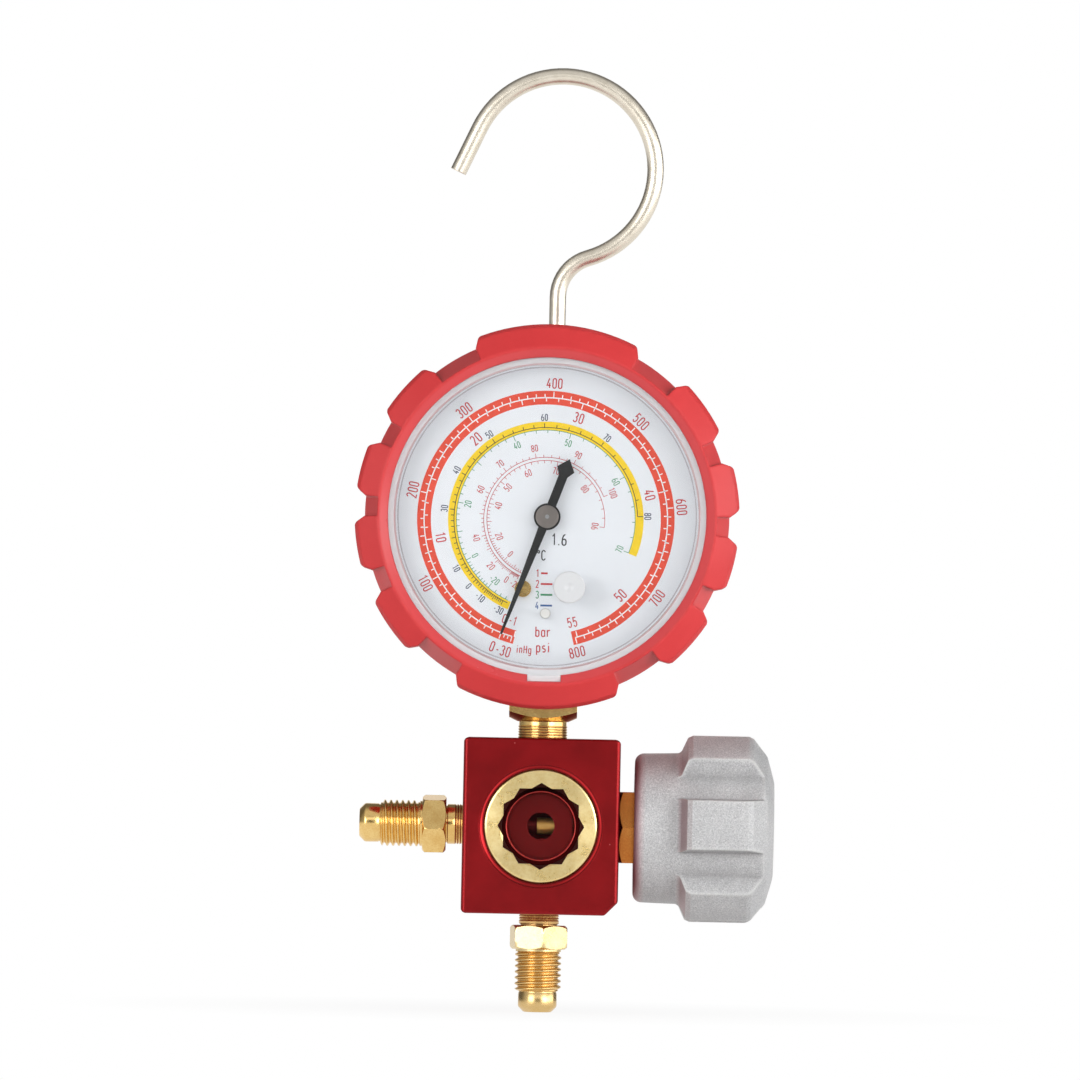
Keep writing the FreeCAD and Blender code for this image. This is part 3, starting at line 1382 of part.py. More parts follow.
draw_path(tail_sketch, [
    (
        f"{along} * cos(tail_angle) - ({across}) * sin(tail_angle)",
        f"{along} * sin(tail_angle) + ({across}) * cos(tail_angle)",
    )
    for along, across in (
        ("1", "-tail_half"), ("tail_length", "-tail_half"), ("tail_length", "tail_half"), ("1", "tail_half"),
    )
])
pad(sector, tail_sketch, "sector_thickness")
tail_x = "tail_length * cos(tail_angle)"
tail_y = "tail_length * sin(tail_angle)"
boss_sketch = new_sketch(sector, "XY_Plane", lift="sector_back")
draw_circle(boss_sketch, "tail_boss", tail_x, tail_y)
pad(sector, boss_sketch, "sector_thickness")
window = new_sketch(sector, "XY_Plane", lift="sector_back + sector_thickness")
window_low = f"({rim_start} + sector_arm_angle)"
window_high = f"({rim_end} - sector_arm_angle)"
window_rim = f"({root_radius} - sector_rim)"
window_hub = "(sector_hub + sector_window_wall)"
draw_path(window, [
    (f"{window_hub} * cos({window_low})", f"{window_hub} * sin({window_low})"),
    (f"{window_rim} * cos({window_low})", f"{window_rim} * sin({window_low})", window_rim),
    (f"{window_rim} * cos({window_high})", f"{window_rim} * sin({window_high})"),
    (f"{window_hub} * cos({window_high})", f"{window_hub} * sin({window_high})"),
])
pocket(sector, window, "sector_thickness")
bore_sketch = new_sketch(sector, "XY_Plane", lift="sector_back + sector_thickness")
draw_circle(bore_sketch, "arbor_radius")
pocket(sector, bore_sketch, "sector_thickness")
pin_sketch = new_sketch(sector, "XY_Plane", lift="link_back - sector_pin_stand")
draw_circle(pin_sketch, "pivot_pin_radius", tail_x, tail_y)
pad(sector, pin_sketch, "sector_back - link_back + sector_pin_stand + pin_root")
gap_sketch = new_sketch(sector, "XY_Plane", lift="sector_back + sector_thickness")
half_pitch_width = f"({sector_pitch} * sin({gap_pitch} / 2))"
gap_corners = []
for radius, tooth_half in (
    (root_radius, "tooth_half_at_root"), (sector_pitch, "tooth_half_at_pitch"),
    (f"({rim_radius} + gear_tip_margin)", "tooth_half_at_tip"),
):
    gap_corners.append((radius, f"({half_pitch_width} - {tooth_half})"))
gap_outline = [(along, f"-{across}") for along, across in gap_corners] + gap_corners[::-1]
draw_path(gap_sketch, [
    (
        f"{along} * cos({first_gap}) - ({across}) * sin({first_gap})",
        f"{along} * sin({first_gap}) + ({across}) * cos({first_gap})",
    )
    for along, across in gap_outline
])
gap = pocket(sector, gap_sketch, "sector_thickness")
pattern(sector, gap, "sector_gap_count", f"{gap_pitch} * (sector_gap_count - 1)")

turned_body("sector_arbor", [
    ("0", f"{back_plate_back} + arbor_play"),
    ("journal_radius", f"{back_plate_back} + arbor_play"),
    ("journal_radius", "socket_tongue_depth + running_clearance"),
    ("arbor_radius", "socket_tongue_depth + running_clearance"),
    ("arbor_radius", "socket_front_depth - running_clearance"),
    ("journal_radius", "socket_front_depth - running_clearance"),
    ("journal_radius", f"{front_plate_face} - arbor_play"),
    ("0", f"{front_plate_face} - arbor_play"),
], FACING_FRONT, sector_x, z=sector_height)

pinion_rotation = turned(FACING_FRONT, "mesh_angle + 180 + 180 / pinion_teeth")
pinion = turned_body("pinion_arbor", [
    ("0", f"{back_plate_back} + arbor_play"),
    ("journal_radius", f"{back_plate_back} + arbor_play"),
    ("journal_radius", "socket_tongue_depth + running_clearance"),
    ("arbor_radius", "socket_tongue_depth + running_clearance"),
    ("arbor_radius", "pinion_back"),
    (f"{pinion_pitch} - gear_dedendum", "pinion_back"),
    (f"{pinion_pitch} - gear_dedendum", "pinion_back + pinion_length"),
    ("arbor_radius", "pinion_back + pinion_length"),
    ("arbor_radius", "socket_front_depth - running_clearance"),
    ("pointer_arbor_radius", "socket_front_depth - running_clearance"),
    ("pointer_arbor_radius", f"{hub_back} - running_clearance"),
    ("arbor_tip_radius", f"{hub_back} - running_clearance"),
    ("arbor_tip_radius", f"{hub_front} + arbor_play"),
    ("0", f"{hub_front} + arbor_play"),
], pinion_rotation, z="gauge_height")
tooth_sketch = new_sketch(pinion, "XY_Plane", lift="pinion_back")
tooth_corners = [
    (f"{pinion_pitch} - gear_dedendum - gear_root_margin", "tooth_half_at_root"),
    (pinion_pitch, "tooth_half_at_pitch"),
    (f"{pinion_pitch} + gear_addendum", "tooth_half_at_tip"),
]
draw_path(tooth_sketch, [(along, f"-{across}") for along, across in tooth_corners] + tooth_corners[::-1])
tooth = pad(pinion, tooth_sketch, "pinion_length")
pattern(pinion, tooth, "pinion_teeth", "360")

# Link from the sector's tail to the tube's tip, with a loose eye at the tip
pivot_x = f"({sector_x} + {tail_x})"
pivot_rise = f"(-{sector_drop} + {tail_y})"
reach_x = f"(tube_radius * cos(tip_pivot_angle) - {pivot_x})"
reach_rise = f"(tube_radius * sin(tip_pivot_angle) - {pivot_rise})"
link_length = f"sqrt(({reach_x})^2 + ({reach_rise})^2)"
link_angle = f"atan2({reach_rise}; {reach_x})"
link = new_body(
    "movement_link", turned(FACING_FRONT, link_angle), pivot_x, z=f"gauge_height + {pivot_rise}",
)
for corners, radius, x in (
    (rectangle("0", "-link_half", link_length, "link_half"), None, None),
    (None, "link_eye", "0"),
    (None, "link_loose_eye", link_length),
):
    sketch = new_sketch(link, "XY_Plane", lift="link_back")
    if corners:
        draw_path(sketch, corners)
    else:
        draw_circle(sketch, radius, x)
    pad(link, sketch, "link_thickness")
for radius, x in (("pivot_pin_radius + running_clearance", "0"), ("link_loose_bore", link_length)):
    sketch = new_sketch(link, "XY_Plane", lift="link_back + link_thickness")
    draw_circle(sketch, radius, x)
    pocket(link, sketch, "link_thickness")


def spiral_strip(inner_radius, pitch, half_turns, strip, height):
    """A flat spiral of half circles about two centres, whose radius grows by a pitch each turn."""
    edges = []
    for offset in (0, strip):
        for index in range(half_turns):
            radius = inner_radius + offset + pitch * index / 2
            centre = FreeCAD.Vector(0 if index % 2 == 0 else pitch / 2, 0, 0)
            sign = 1 if index % 2 == 0 else -1
            points = [
                centre + FreeCAD.Vector(radius * sign * along, radius * sign * across, 0)
                for along, across in ((1, 0), (0, 1), (-1, 0))
            ]
            edges.append(Part.Arc(*points).toShape())
    inner = edges[:half_turns]
    outer = edges[half_turns:]
    caps = [
        Part.LineSegment(inner[0].Vertexes[0].Point, outer[0].Vertexes[0].Point).toShape(),
        Part.LineSegment(inner[-1].Vertexes[-1].Point, outer[-1].Vertexes[-1].Point).toShape(),
    ]
    wire = Part.Wire(inner + [caps[1]] + outer[::-1] + [caps[0]])
    return Part.Face(wire).extrude(FreeCAD.Vector(0, 0, height))


spring = document.addObject("Part::Feature", "hairspring")
strip_shape = spiral_strip(
    value("collet_radius") - value("spring_strip"), value("spring_pitch"), int(value("spring_half_turns")),
    value("spring_strip"), value("spring_height"),
)
collet = Part.makeCylinder(value("collet_radius"), value("spring_height"))
collet_bore = Part.makeCylinder(value("arbor_radius"), value("spring_height"))
spring.Shape = strip_shape.fuse(collet.cut(collet_bore)).removeSplitter()
spring.Placement = FreeCAD.Placement(
    FreeCAD.Vector(0, -value("spring_depth"), value("gauge_height")), FACING_FRONT,
)
sub_part(spring, "hairspring")

# Hanging hook: one bent rod, turned down where the grub screw holds it in the block
hook = new_body("hanging_hook", UPRIGHT, "hook_x", "-hook_depth")
hook_bottom = f"({half_height} - hook_hole_depth + hook_foot_gap)"
rise = "(hook_radius + hook_neck_radius)"
lean = "(hook_x + hook_neck_radius - hook_centre_x)"
neck_height = f"(hook_centre_height - sqrt({rise}^2 - {lean}^2))"
lean_angle = f"asin({lean} / {rise})"
loop_x = "(hook_centre_x - hook_x)"
join_x = f"({loop_x} + hook_radius * sin({lean_angle}))"
join_height = f"(hook_centre_height - hook_radius * cos({lean_angle}))"
top_x = f"({loop_x} + hook_radius * cos(45))"
top_height = "(hook_centre_height + hook_radius * sin(45))"
end_x = f"({loop_x} + hook_radius * cos(hook_end_angle))"
end_height = "(hook_centre_height + hook_radius * sin(hook_end_angle))"
hook_path = new_sketch(hook, "XZ_Plane")
draw_path(hook_path, [
    ("0", hook_bottom),
    ("0", neck_height, "-hook_neck_radius"),
    (join_x, join_height, "hook_radius"),
    (top_x, top_height, "hook_radius"),
    (end_x, end_height),
    (f"{end_x} - hook_tip * sin(hook_end_angle)", f"{end_height} + hook_tip * cos(hook_end_angle)"),
], closed=False)
rod_section = new_sketch(hook, "XY_Plane", lift=hook_bottom)
draw_circle(rod_section, "hook_rod_radius")
rod = hook.newObject("PartDesign::AdditivePipe", "hanging_hook_pipe")
rod.Profile = rod_section
rod.Spine = (hook_path, [])
lathe_cut(hook, rectangle(
    "hook_groove_radius", "grub_height - hook_groove_width / 2",
    "hook_rod_radius + cut_margin", "grub_height + hook_groove_width / 2",
))

turned_body("hook_grub_screw", [
    ("grub_socket_radius", "grub_recess"),
    ("grub_radius", "grub_recess"),
    ("grub_radius", "hook_depth - hook_rod_radius - grub_play"),
    ("grub_tip_radius", "hook_depth - hook_rod_radius - grub_play"),
    ("grub_tip_radius", "hook_depth - hook_groove_radius - running_clearance"),
    ("0", "hook_depth - hook_groove_radius - running_clearance"),
    ("0", "grub_recess + grub_socket_depth"),
    ("grub_socket_radius", "grub_recess + grub_socket_depth"),
], FACING_FRONT, "hook_x", z="grub_height")


def faults_of(thing):
    """Names an object that failed, and a cut that took nothing away."""
    if {"Invalid", "Error"} & set(thing.State):
        return [f"{thing.Label} failed"]
    if thing.TypeId in ("PartDesign::Pocket", "PartDesign::Groove"):
        if thing.Shape.Volume > thing.BaseFeature.Shape.Volume - 0.0001:
            return [f"{thing.Label} cut nothing"]
    return []


document.recompute()
faults = [fault for thing in document.Objects for fault in faults_of(thing)]
for piece in pieces:
    if piece.Shape.isNull() or not piece.Shape.isValid() or not piece.Shape.Solids:
        faults.append(f"{piece.Label} is not a valid solid")
if faults:
    raise RuntimeError("; ".join(faults))

os.makedirs("parts", exist_ok=True)
for piece in pieces:
    piece.Shape.exportStep(f"parts/{piece.Label}.step")
print(len(pieces), "sub-parts")
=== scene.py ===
"""Looks of the single gauge manifold: materials, dial printing, threads, light and camera."""
import math

import bpy
from mathutils import Matrix, Quaternion, Vector


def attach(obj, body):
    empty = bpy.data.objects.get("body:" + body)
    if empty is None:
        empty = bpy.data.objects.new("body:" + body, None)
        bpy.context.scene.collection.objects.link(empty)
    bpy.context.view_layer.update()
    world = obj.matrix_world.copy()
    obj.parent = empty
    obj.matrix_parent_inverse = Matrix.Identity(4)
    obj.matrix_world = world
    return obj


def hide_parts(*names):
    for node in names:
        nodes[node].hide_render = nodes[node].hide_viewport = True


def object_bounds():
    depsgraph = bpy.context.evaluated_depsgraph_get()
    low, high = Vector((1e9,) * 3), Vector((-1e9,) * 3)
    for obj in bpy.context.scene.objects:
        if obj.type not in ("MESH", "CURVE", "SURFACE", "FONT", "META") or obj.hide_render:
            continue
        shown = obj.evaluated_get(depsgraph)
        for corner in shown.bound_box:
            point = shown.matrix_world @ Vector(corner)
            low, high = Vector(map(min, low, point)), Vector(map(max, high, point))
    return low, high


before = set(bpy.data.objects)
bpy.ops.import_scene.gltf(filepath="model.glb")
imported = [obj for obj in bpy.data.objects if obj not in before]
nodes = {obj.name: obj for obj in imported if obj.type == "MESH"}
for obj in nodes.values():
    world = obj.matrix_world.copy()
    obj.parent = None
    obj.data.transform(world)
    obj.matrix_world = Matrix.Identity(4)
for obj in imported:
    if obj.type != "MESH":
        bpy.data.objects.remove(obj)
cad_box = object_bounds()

scene = bpy.context.scene

# Millimetres in the part's frame: X to the right, Y away from the camera, Z up
MM = 0.001
GAUGE_HEIGHT = 74.0
PORT_DEPTH = 22.5
DIAL_DEPTH = 33.6
BLOCK_LEFT_SIDE = -18.75
BLOCK_BOTTOM = -21.0


# ---------------------------------------------------------------- shader nodes

def srgb(red, green, blue):
    """A colour given as 0 to 255 in sRGB, as linear values with an alpha."""
    scaled = [part / 255 for part in (red, green, blue)]
    parts = [part / 12.92 if part <= 0.04045 else ((part + 0.055) / 1.055) ** 2.4 for part in scaled]
    return (*parts, 1.0)


def lightened(colour, gain, lift=0.0):
    """A linear colour made brighter, up to full white."""
    return (*[min(1.0, part * gain + lift) for part in colour[:3]], 1.0)


def add(tree, kind, inputs=None, **settings):
    """Adds a node; an input is a value or the socket that feeds it."""
    node = tree.nodes.new(kind)
    for name, setting in settings.items():
        setattr(node, name, setting)
    for key, given in (inputs or {}).items():
        if isinstance(given, bpy.types.NodeSocket):
            tree.links.new(given, node.inputs[key])
        else:
            node.inputs[key].default_value = given
    return node


def new_tree(name):
    material = bpy.data.materials.new(name)
    material.use_nodes = True
    return material, material.node_tree, material.node_tree.nodes["Principled BSDF"]


def calculated(tree, operation, *values):
    return add(tree, "ShaderNodeMath", dict(enumerate(values)), operation=operation).outputs[0]


def product(tree, first, second):
    return calculated(tree, "MULTIPLY", first, second)


def mixed_colour(tree, share, before, after):
    """The colour before where the share is 0, and after where it is 1."""
    return add(tree, "ShaderNodeMix", {0: share, 6: before, 7: after}, data_type="RGBA").outputs[2]


def mixed_shader(tree, share, before, after):
    return add(tree, "ShaderNodeMixShader", {0: share, 1: before, 2: after}).outputs[0]


def ramp(tree, factor, stops):
    """A colour ramp with (position, colour) stops."""
    node = add(tree, "ShaderNodeValToRGB", {"Fac": factor})
    elements = node.color_ramp.elements
    while len(elements) < len(stops):
        elements.new(0.5)
    for element, (position, colour) in zip(elements, stops):
        element.position = position
        element.color = colour
    return node.outputs["Color"]


def parts_of(tree, vector):
    """The X, Y and Z outputs of a vector."""
    return add(tree, "ShaderNodeSeparateXYZ", {0: vector}).outputs


def length_of(tree, vector):
    return add(tree, "ShaderNodeVectorMath", {0: vector}, operation="LENGTH").outputs["Value"]


def millimetres(tree, stretch=(1, 1, 1)):
    """Object coordinates in millimetres."""
    place = add(tree, "ShaderNodeTexCoord").outputs["Object"]
    scale = tuple(part / MM for part in stretch)
    return add(tree, "ShaderNodeVectorMath", {0: place, 1: scale}, operation="MULTIPLY").outputs[0]


def reach_from(tree, height):
    """Distance in millimetres from the line along Y at x = 0 and this height."""
    place = parts_of(tree, millimetres(tree))
    rise = calculated(tree, "SUBTRACT", place["Z"], height)
    return length_of(tree, add(tree, "ShaderNodeCombineXYZ", {"X": place["X"], "Z": rise}).outputs[0])


def noise(tree, where, scale, detail=2.0, roughness=0.5):
    return add(tree, "ShaderNodeTexNoise", {
        "Vector": where, "Scale": scale, "Detail": detail, "Roughness": roughness,
    }).outputs["Fac"]


def ranged(tree, factor, low, high, start=0.3, end=0.7):
    """Goes from low to high while the factor goes from start to end."""
    return add(tree, "ShaderNodeMapRange", {
        "Value": factor, "From Min": start, "From Max": end, "To Min": low, "To Max": high,
    }).outputs["Result"]


def rising(tree, place, start, end):
    return ranged(tree, place, 0.0, 1.0, start, end)


def falling(tree, place, start, end):
    return ranged(tree, place, 1.0, 0.0, start, end)


def band(tree, place, start, end, soft=0.05):
    """1 where a place lies between two limits, 0 elsewhere."""
    into = rising(tree, place, start - soft, start + soft)
    return product(tree, into, falling(tree, place, end - soft, end + soft))


def tinted(tree, socket, share, colour):
    """Mixes a colour over the one that feeds a socket."""
    tree.links.new(mixed_colour(tree, share, socket.links[0].from_socket, colour), socket)


def scaled(tree, socket, share):
    """Multiplies the value that feeds a socket."""
    tree.links.new(product(tree, socket.links[0].from_socket, share), socket)


def bump(tree, height, depth, normal=None):
    """A bump of a depth in millimetres over a normal."""
    inputs = {"Height": height, "Distance": depth * MM}
    if normal is not None:
        inputs["Normal"] = normal
    return add(tree, "ShaderNodeBump", inputs).outputs["Normal"]


def rounded(tree, radius):
    """Softens the look of edges by a radius in millimetres."""
    return add(tree, "ShaderNodeBevel", {"Radius": radius * MM}, samples=6).outputs["Normal"]


def openness(tree, distance, **settings):
    """How open a place is within a distance in millimetres: 0 is closed in, 1 is open."""
    return add(tree, "ShaderNodeAmbientOcclusion", {"Distance": distance * MM}, **settings).outputs["AO"]


# ---------------------------------------------------------------- materials

def finish(name, colours, metallic, roughness, cloud=0.12, grain=3.0, depth=0.01, edge=0.25,
           stretch=(1, 1, 1), **constants):
    """A finish with cloudy colour, uneven gloss, fine grain and softened edges."""
    material, tree, shader = new_tree(name)
    patches = noise(tree, millimetres(tree), cloud, detail=4.0, roughness=0.6)
    fine = noise(tree, millimetres(tree, stretch), grain, roughness=0.65)
    blend = calculated(tree, "ADD", patches, ranged(tree, fine, -0.12, 0.12))
    tree.links.new(ramp(tree, blend, [(0.3, colours[0]), (0.7, colours[1])]), shader.inputs["Base Color"])
    tree.links.new(ranged(tree, patches, *roughness), shader.inputs["Roughness"])
    normal = rounded(tree, edge) if edge else None
    tree.links.new(bump(tree, fine, depth, normal), shader.inputs["Normal"])
    shader.inputs["Metallic"].default_value = metallic
    for key, setting in constants.items():
        shader.inputs[key.replace("_", " ")].default_value = setting
    return material


def specked(material, colour, scale, size):
    """Adds sparse small specks of a paler colour, as dust leaves them."""
    tree = material.node_tree
    cells = add(tree, "ShaderNodeTexVoronoi", {"Vector": millimetres(tree), "Scale": scale})
    speck = falling(tree, cells.outputs["Distance"], 0.4 * size, size)
    tinted(tree, tree.nodes["Principled BSDF"].inputs["Base Color"], speck, colour)


def anodised():
    """Red anodised aluminium with faint tool lines; painted highlights round the nut and round the chamber
    under the sight glass, painted shade in that chamber.
    """
    material = finish(
        "red_anodised_finish", [srgb(132, 10, 15), srgb(148, 14, 20)], metallic=0.85, roughness=(0.32, 0.38),
        cloud=0.09, grain=5.0, depth=0.006, edge=0.35, stretch=(1, 1, 3),
    )
    tree = material.node_tree
    shader = tree.nodes["Principled BSDF"]
    base = shader.inputs["Base Color"]
    reach = reach_from(tree, 0.0)
    place = parts_of(tree, millimetres(tree))

    # The chamber under the sight glass: painted shade on its floor, a duller edge, and a painted highlight on
    # the ring round it
    chamber, floor_edge, seat_ring_highlight = (7.9, 8.05), (7.4, 8.07), (8.1, 8.37)
    deep = rising(tree, place["Y"], -33.0, -29.9)
    # Painted shade: the chamber's floor is darkened where the nut would shade it
    tinted(tree, base, product(tree, falling(tree, reach, *chamber), deep), srgb(116, 6, 8))
    # Painted highlight: the ring round the chamber is brightened where its edge would catch the light
    tinted(tree, base, product(tree, band(tree, reach, *seat_ring_highlight, 0.03), deep), srgb(255, 96, 92))
    duller = ranged(tree, product(tree, band(tree, reach, *floor_edge), deep), 1.0, 2.2, 0.0, 1.0)
    scaled(tree, shader.inputs["Roughness"], duller)

    # The rim of the nut's recess: a painted highlight, stronger at its sides, on a slope
    rim, slope = (14.1, 14.5), (13.9, 14.75)
    sideways = calculated(tree, "ABSOLUTE", place["X"])
    front = falling(tree, place["Y"], -37.5, -36.5)
    # Painted highlight: brighter towards the rim's left and right, as side lamps would light it
    bright = product(tree, band(tree, reach, *rim, 0.1), ranged(tree, sideways, 0.25, 1.0, 3.0, 11.0))
    tinted(tree, base, product(tree, bright, front), srgb(232, 50, 54))
    flat = shader.inputs["Normal"].links[0].from_socket
    tree.links.new(bump(tree, rising(tree, reach, *slope), 0.7, flat), shader.inputs["Normal"])
    shader.inputs["Coat Weight"].default_value = 0.15
    shader.inputs["Coat Roughness"].default_value = 0.2
    specked(material, srgb(235, 120, 120), scale=0.14, size=0.03)
    return material


def turned_brass():
    """Pale brass face with turned rings round the Y axis, which stretch its highlights."""
    material = finish(
        "turned_brass_finish", [srgb(236, 208, 140), srgb(248, 226, 166)],
        metallic=1.0, roughness=(0.26, 0.32), cloud=0.3, grain=1.2, depth=0.002, edge=0,
        Anisotropic=0.85, Anisotropic_Rotation=0.25,
    )
    tree = material.node_tree
    shader = tree.nodes["Principled BSDF"]
    reach = reach_from(tree, 0.0)
    turned = add(tree, "ShaderNodeCombineXYZ", {"X": reach}).outputs[0]
    rings = noise(tree, turned, scale=3.0, detail=3.0, roughness=0.7)
    outer_chamfer = (12.95, 13.75)
    normal = bump(tree, rings, 0.012, shader.inputs["Normal"].links[0].from_socket)
    normal = bump(tree, falling(tree, reach, *outer_chamfer), 0.3, normal)
    tree.links.new(normal, shader.inputs["Normal"])
    tangent = add(tree, "ShaderNodeTangent", direction_type="RADIAL", axis="Y")
    tree.links.new(tangent.outputs[0], shader.inputs["Tangent"])
    return material


def rubber():
    """Coral red moulded rubber: satin, mottled, with fine pores, dust, and a glossier inner bevel with a
    painted pink sheen.
    """
    material = finish(
        "red_rubber_finish", [srgb(223, 55, 58), srgb(231, 62, 64)], metallic=0.0, roughness=(0.4, 0.5),
        cloud=0.06, grain=6.0, depth=0.014, edge=0.9,
        Specular_IOR_Level=0.4, Sheen_Weight=0.06, Sheen_Roughness=0.5,
    )
    tree = material.node_tree
    shader = tree.nodes["Principled BSDF"]
    inner_bevel = (37.9, 39.9)
    bevel = band(tree, reach_from(tree, GAUGE_HEIGHT), *inner_bevel, 0.3)
    # Painted sheen: the inner bevel is paled towards pink
    tinted(tree, shader.inputs["Base Color"], product(tree, bevel, 0.5), srgb(240, 92, 96))
    scaled(tree, shader.inputs["Roughness"], ranged(tree, bevel, 1.0, 0.65, 0.0, 1.0))
    specked(material, srgb(250, 170, 170), scale=0.22, size=0.02)
    return material


def casting():
    """Sand-blasted grey zinc casting: coarse and fine grain, painted shade in its hollows, painted highlights
    on its edges, and a painted reflection of the red block.
    """
    material, tree, shader = new_tree("cast_grey_finish")
    where = millimetres(tree)
    fine = noise(tree, where, scale=3.0, detail=3.0, roughness=0.8)
    coarse = noise(tree, where, scale=1.5, detail=3.0, roughness=0.7)
    patches = noise(tree, where, scale=0.1)
    tint = calculated(tree, "ADD", ranged(tree, patches, 0.42, 0.58), ranged(tree, fine, -0.42, 0.42))
    base = shader.inputs["Base Color"]
    tree.links.new(ramp(tree, tint, [
        (0.1, srgb(166, 166, 168)), (0.5, srgb(203, 203, 204)),
        (0.8, srgb(230, 230, 230)), (1.0, srgb(252, 252, 252)),
    ]), base)

    # Painted shade in the hollows and painted highlights on the convex edges, both found by occlusion
    hollow_shade = openness(tree, 6.0, samples=8)
    tinted(tree, base, ranged(tree, hollow_shade, 0.85, 0.0, 0.4, 0.97), srgb(128, 124, 126))
    # Painted highlight: convex edges are paled towards white
    corner = openness(tree, 1.2, samples=6, inside=True)
    tinted(tree, base, ranged(tree, corner, 0.7, 0.0, 0.55, 0.95), srgb(246, 246, 244))

    # Painted reflection of the red block next to it, on the foot and, darker, on the faces that look towards
    # the block
    foot = (22.3, 25.0)
    tinted(tree, base, ranged(tree, parts_of(tree, where)["X"], 0.5, 0.0, *foot), srgb(190, 66, 86))
    facing = parts_of(tree, add(tree, "ShaderNodeNewGeometry").outputs["Normal"])["X"]
    # Painted reflection and shade: the faces that look towards the block are tinted a dark pink
    tinted(tree, base, ranged(tree, facing, 0.55, 0.0, -0.9, -0.3), srgb(150, 96, 102))

    tree.links.new(ranged(tree, fine, 0.34, 0.5), shader.inputs["Roughness"])
    dented = bump(tree, coarse, 0.15, rounded(tree, 0.8))
    tree.links.new(bump(tree, fine, 0.12, dented), shader.inputs["Normal"])
    shader.inputs["Metallic"].default_value = 0.22
    return material


def two_tone_brass():
    """Pale brass on the hexagon, deeper on the neck above it and on the thread and nose below."""
    material = finish(
        "pale_brass_finish", [srgb(222, 196, 136), srgb(236, 216, 168)], metallic=1.0, roughness=(0.24, 0.32),
        cloud=0.2, grain=2.0, depth=0.004, edge=0.12,
    )
    tree = material.node_tree
    height = parts_of(tree, millimetres(tree))["Z"]
    base = tree.nodes["Principled BSDF"].inputs["Base Color"]
    below_hexagon, thread, above_hexagon = (-30.3, -29.8), (-39.7, -30.1), (-24.2, -23.9)
    tinted(tree, base, ranged(tree, height, 0.5, 0.0, *below_hexagon), srgb(208, 164, 98))
    tinted(tree, base, product(tree, band(tree, height, *thread, 0.2), 0.6), srgb(216, 174, 106))
    tinted(tree, base, ranged(tree, height, 0.0, 0.8, *above_hexagon), srgb(206, 160, 96))
    return material


def bonnet_brass():
    """Reddish brass, dark red on the end of its thread, inside the block."""
    material = finish(
        "bonnet_brass_finish", [srgb(178, 102, 44), srgb(206, 136, 68)], metallic=1.0, roughness=(0.2, 0.3),
    )
    tree = material.node_tree
    thread_end = falling(tree, parts_of(tree, millimetres(tree))["X"], 12.0, 12.6)
    tinted(tree, tree.nodes["Principled BSDF"].inputs["Base Color"], thread_end, srgb(64, 8, 9))
    return material


def clear(name, tint, roughness, bend):
    """Clear plastic or glass that lets lamp light through to what lies behind it."""
    material, tree, shader = new_tree(name)
    shader.inputs["Transmission Weight"].default_value = 1.0
    shader.inputs["IOR"].default_value = bend
    cloudy = noise(tree, millimetres(tree), scale=0.05)
    tints = [(0.3, tint), (0.7, lightened(tint, 1.02))]
    tree.links.new(ramp(tree, cloudy, tints), shader.inputs["Base Color"])
    uneven = noise(tree, millimetres(tree), scale=0.3)
    tree.links.new(ranged(tree, uneven, *roughness), shader.inputs["Roughness"])
    shadow = add(tree, "ShaderNodeLightPath").outputs["Is Shadow Ray"]
    passing = add(tree, "ShaderNodeBsdfTransparent", {"Color": (0.97, 0.97, 0.97, 1)}).outputs[0]
    mixed = mixed_shader(tree, shadow, shader.outputs[0], passing)
    tree.links.new(mixed, tree.nodes["Material Output"].inputs["Surface"])
    return material


def lens_plastic():
    """Clear moulded lens: painted shade lines where its raised window ends, the outer one pink as a painted
    reflection of the boot; milky in its flange and its tab.
    """
    material = clear("clear_lens_finish", (0.985, 0.99, 0.99, 1), roughness=(0.0, 0.02), bend=1.47)
    tree = material.node_tree
    shader = tree.nodes["Principled BSDF"]
    base = shader.inputs["Base Color"]
    inner_shade_line, outer_shade_and_reflection_line, step_wall = (35.5, 35.75), (36.25, 36.6), (36.2, 36.65)
    flange_start, tab_start = (36.1, 36.3), (37.9, 38.2)
    reach = reach_from(tree, GAUGE_HEIGHT)
    # Painted shade: thin darker lines where the window's edge ends; the outer one is also a painted pink
    # reflection of the boot
    tinted(tree, base, band(tree, reach, *inner_shade_line, 0.1), srgb(214, 206, 208))
    tinted(tree, base, band(tree, reach, *outer_shade_and_reflection_line, 0.1), srgb(196, 172, 174))
    step = band(tree, reach, *step_wall, 0.06)
    milky = calculated(tree, "ADD", product(tree, step, 0.45), ranged(tree, reach, 0.0, 0.4, *flange_start))
    milky = calculated(tree, "ADD", milky, ranged(tree, reach, 0.0, 0.5, *tab_start))
    # Painted shade and reflection: the frost on the step wall is a darker pink
    shade = mixed_colour(tree, step, srgb(240, 241, 243), srgb(206, 192, 194))
    frost = add(tree, "ShaderNodeBsdfPrincipled", {"Base Color": shade, "Roughness": 0.4}).outputs[0]
    output = shader.outputs[0].links[0].to_socket
    tree.links.new(mixed_shader(tree, milky, shader.outputs[0], frost), output)
    return material


def ink(name, colour):
    """Printing ink with slightly uneven cover."""
    return finish(
        name, [colour, lightened(colour, 1.12, 0.01)], metallic=0.0, roughness=(0.5, 0.6),
        cloud=0.6, grain=8.0, depth=0.001, edge=0.01,
    )


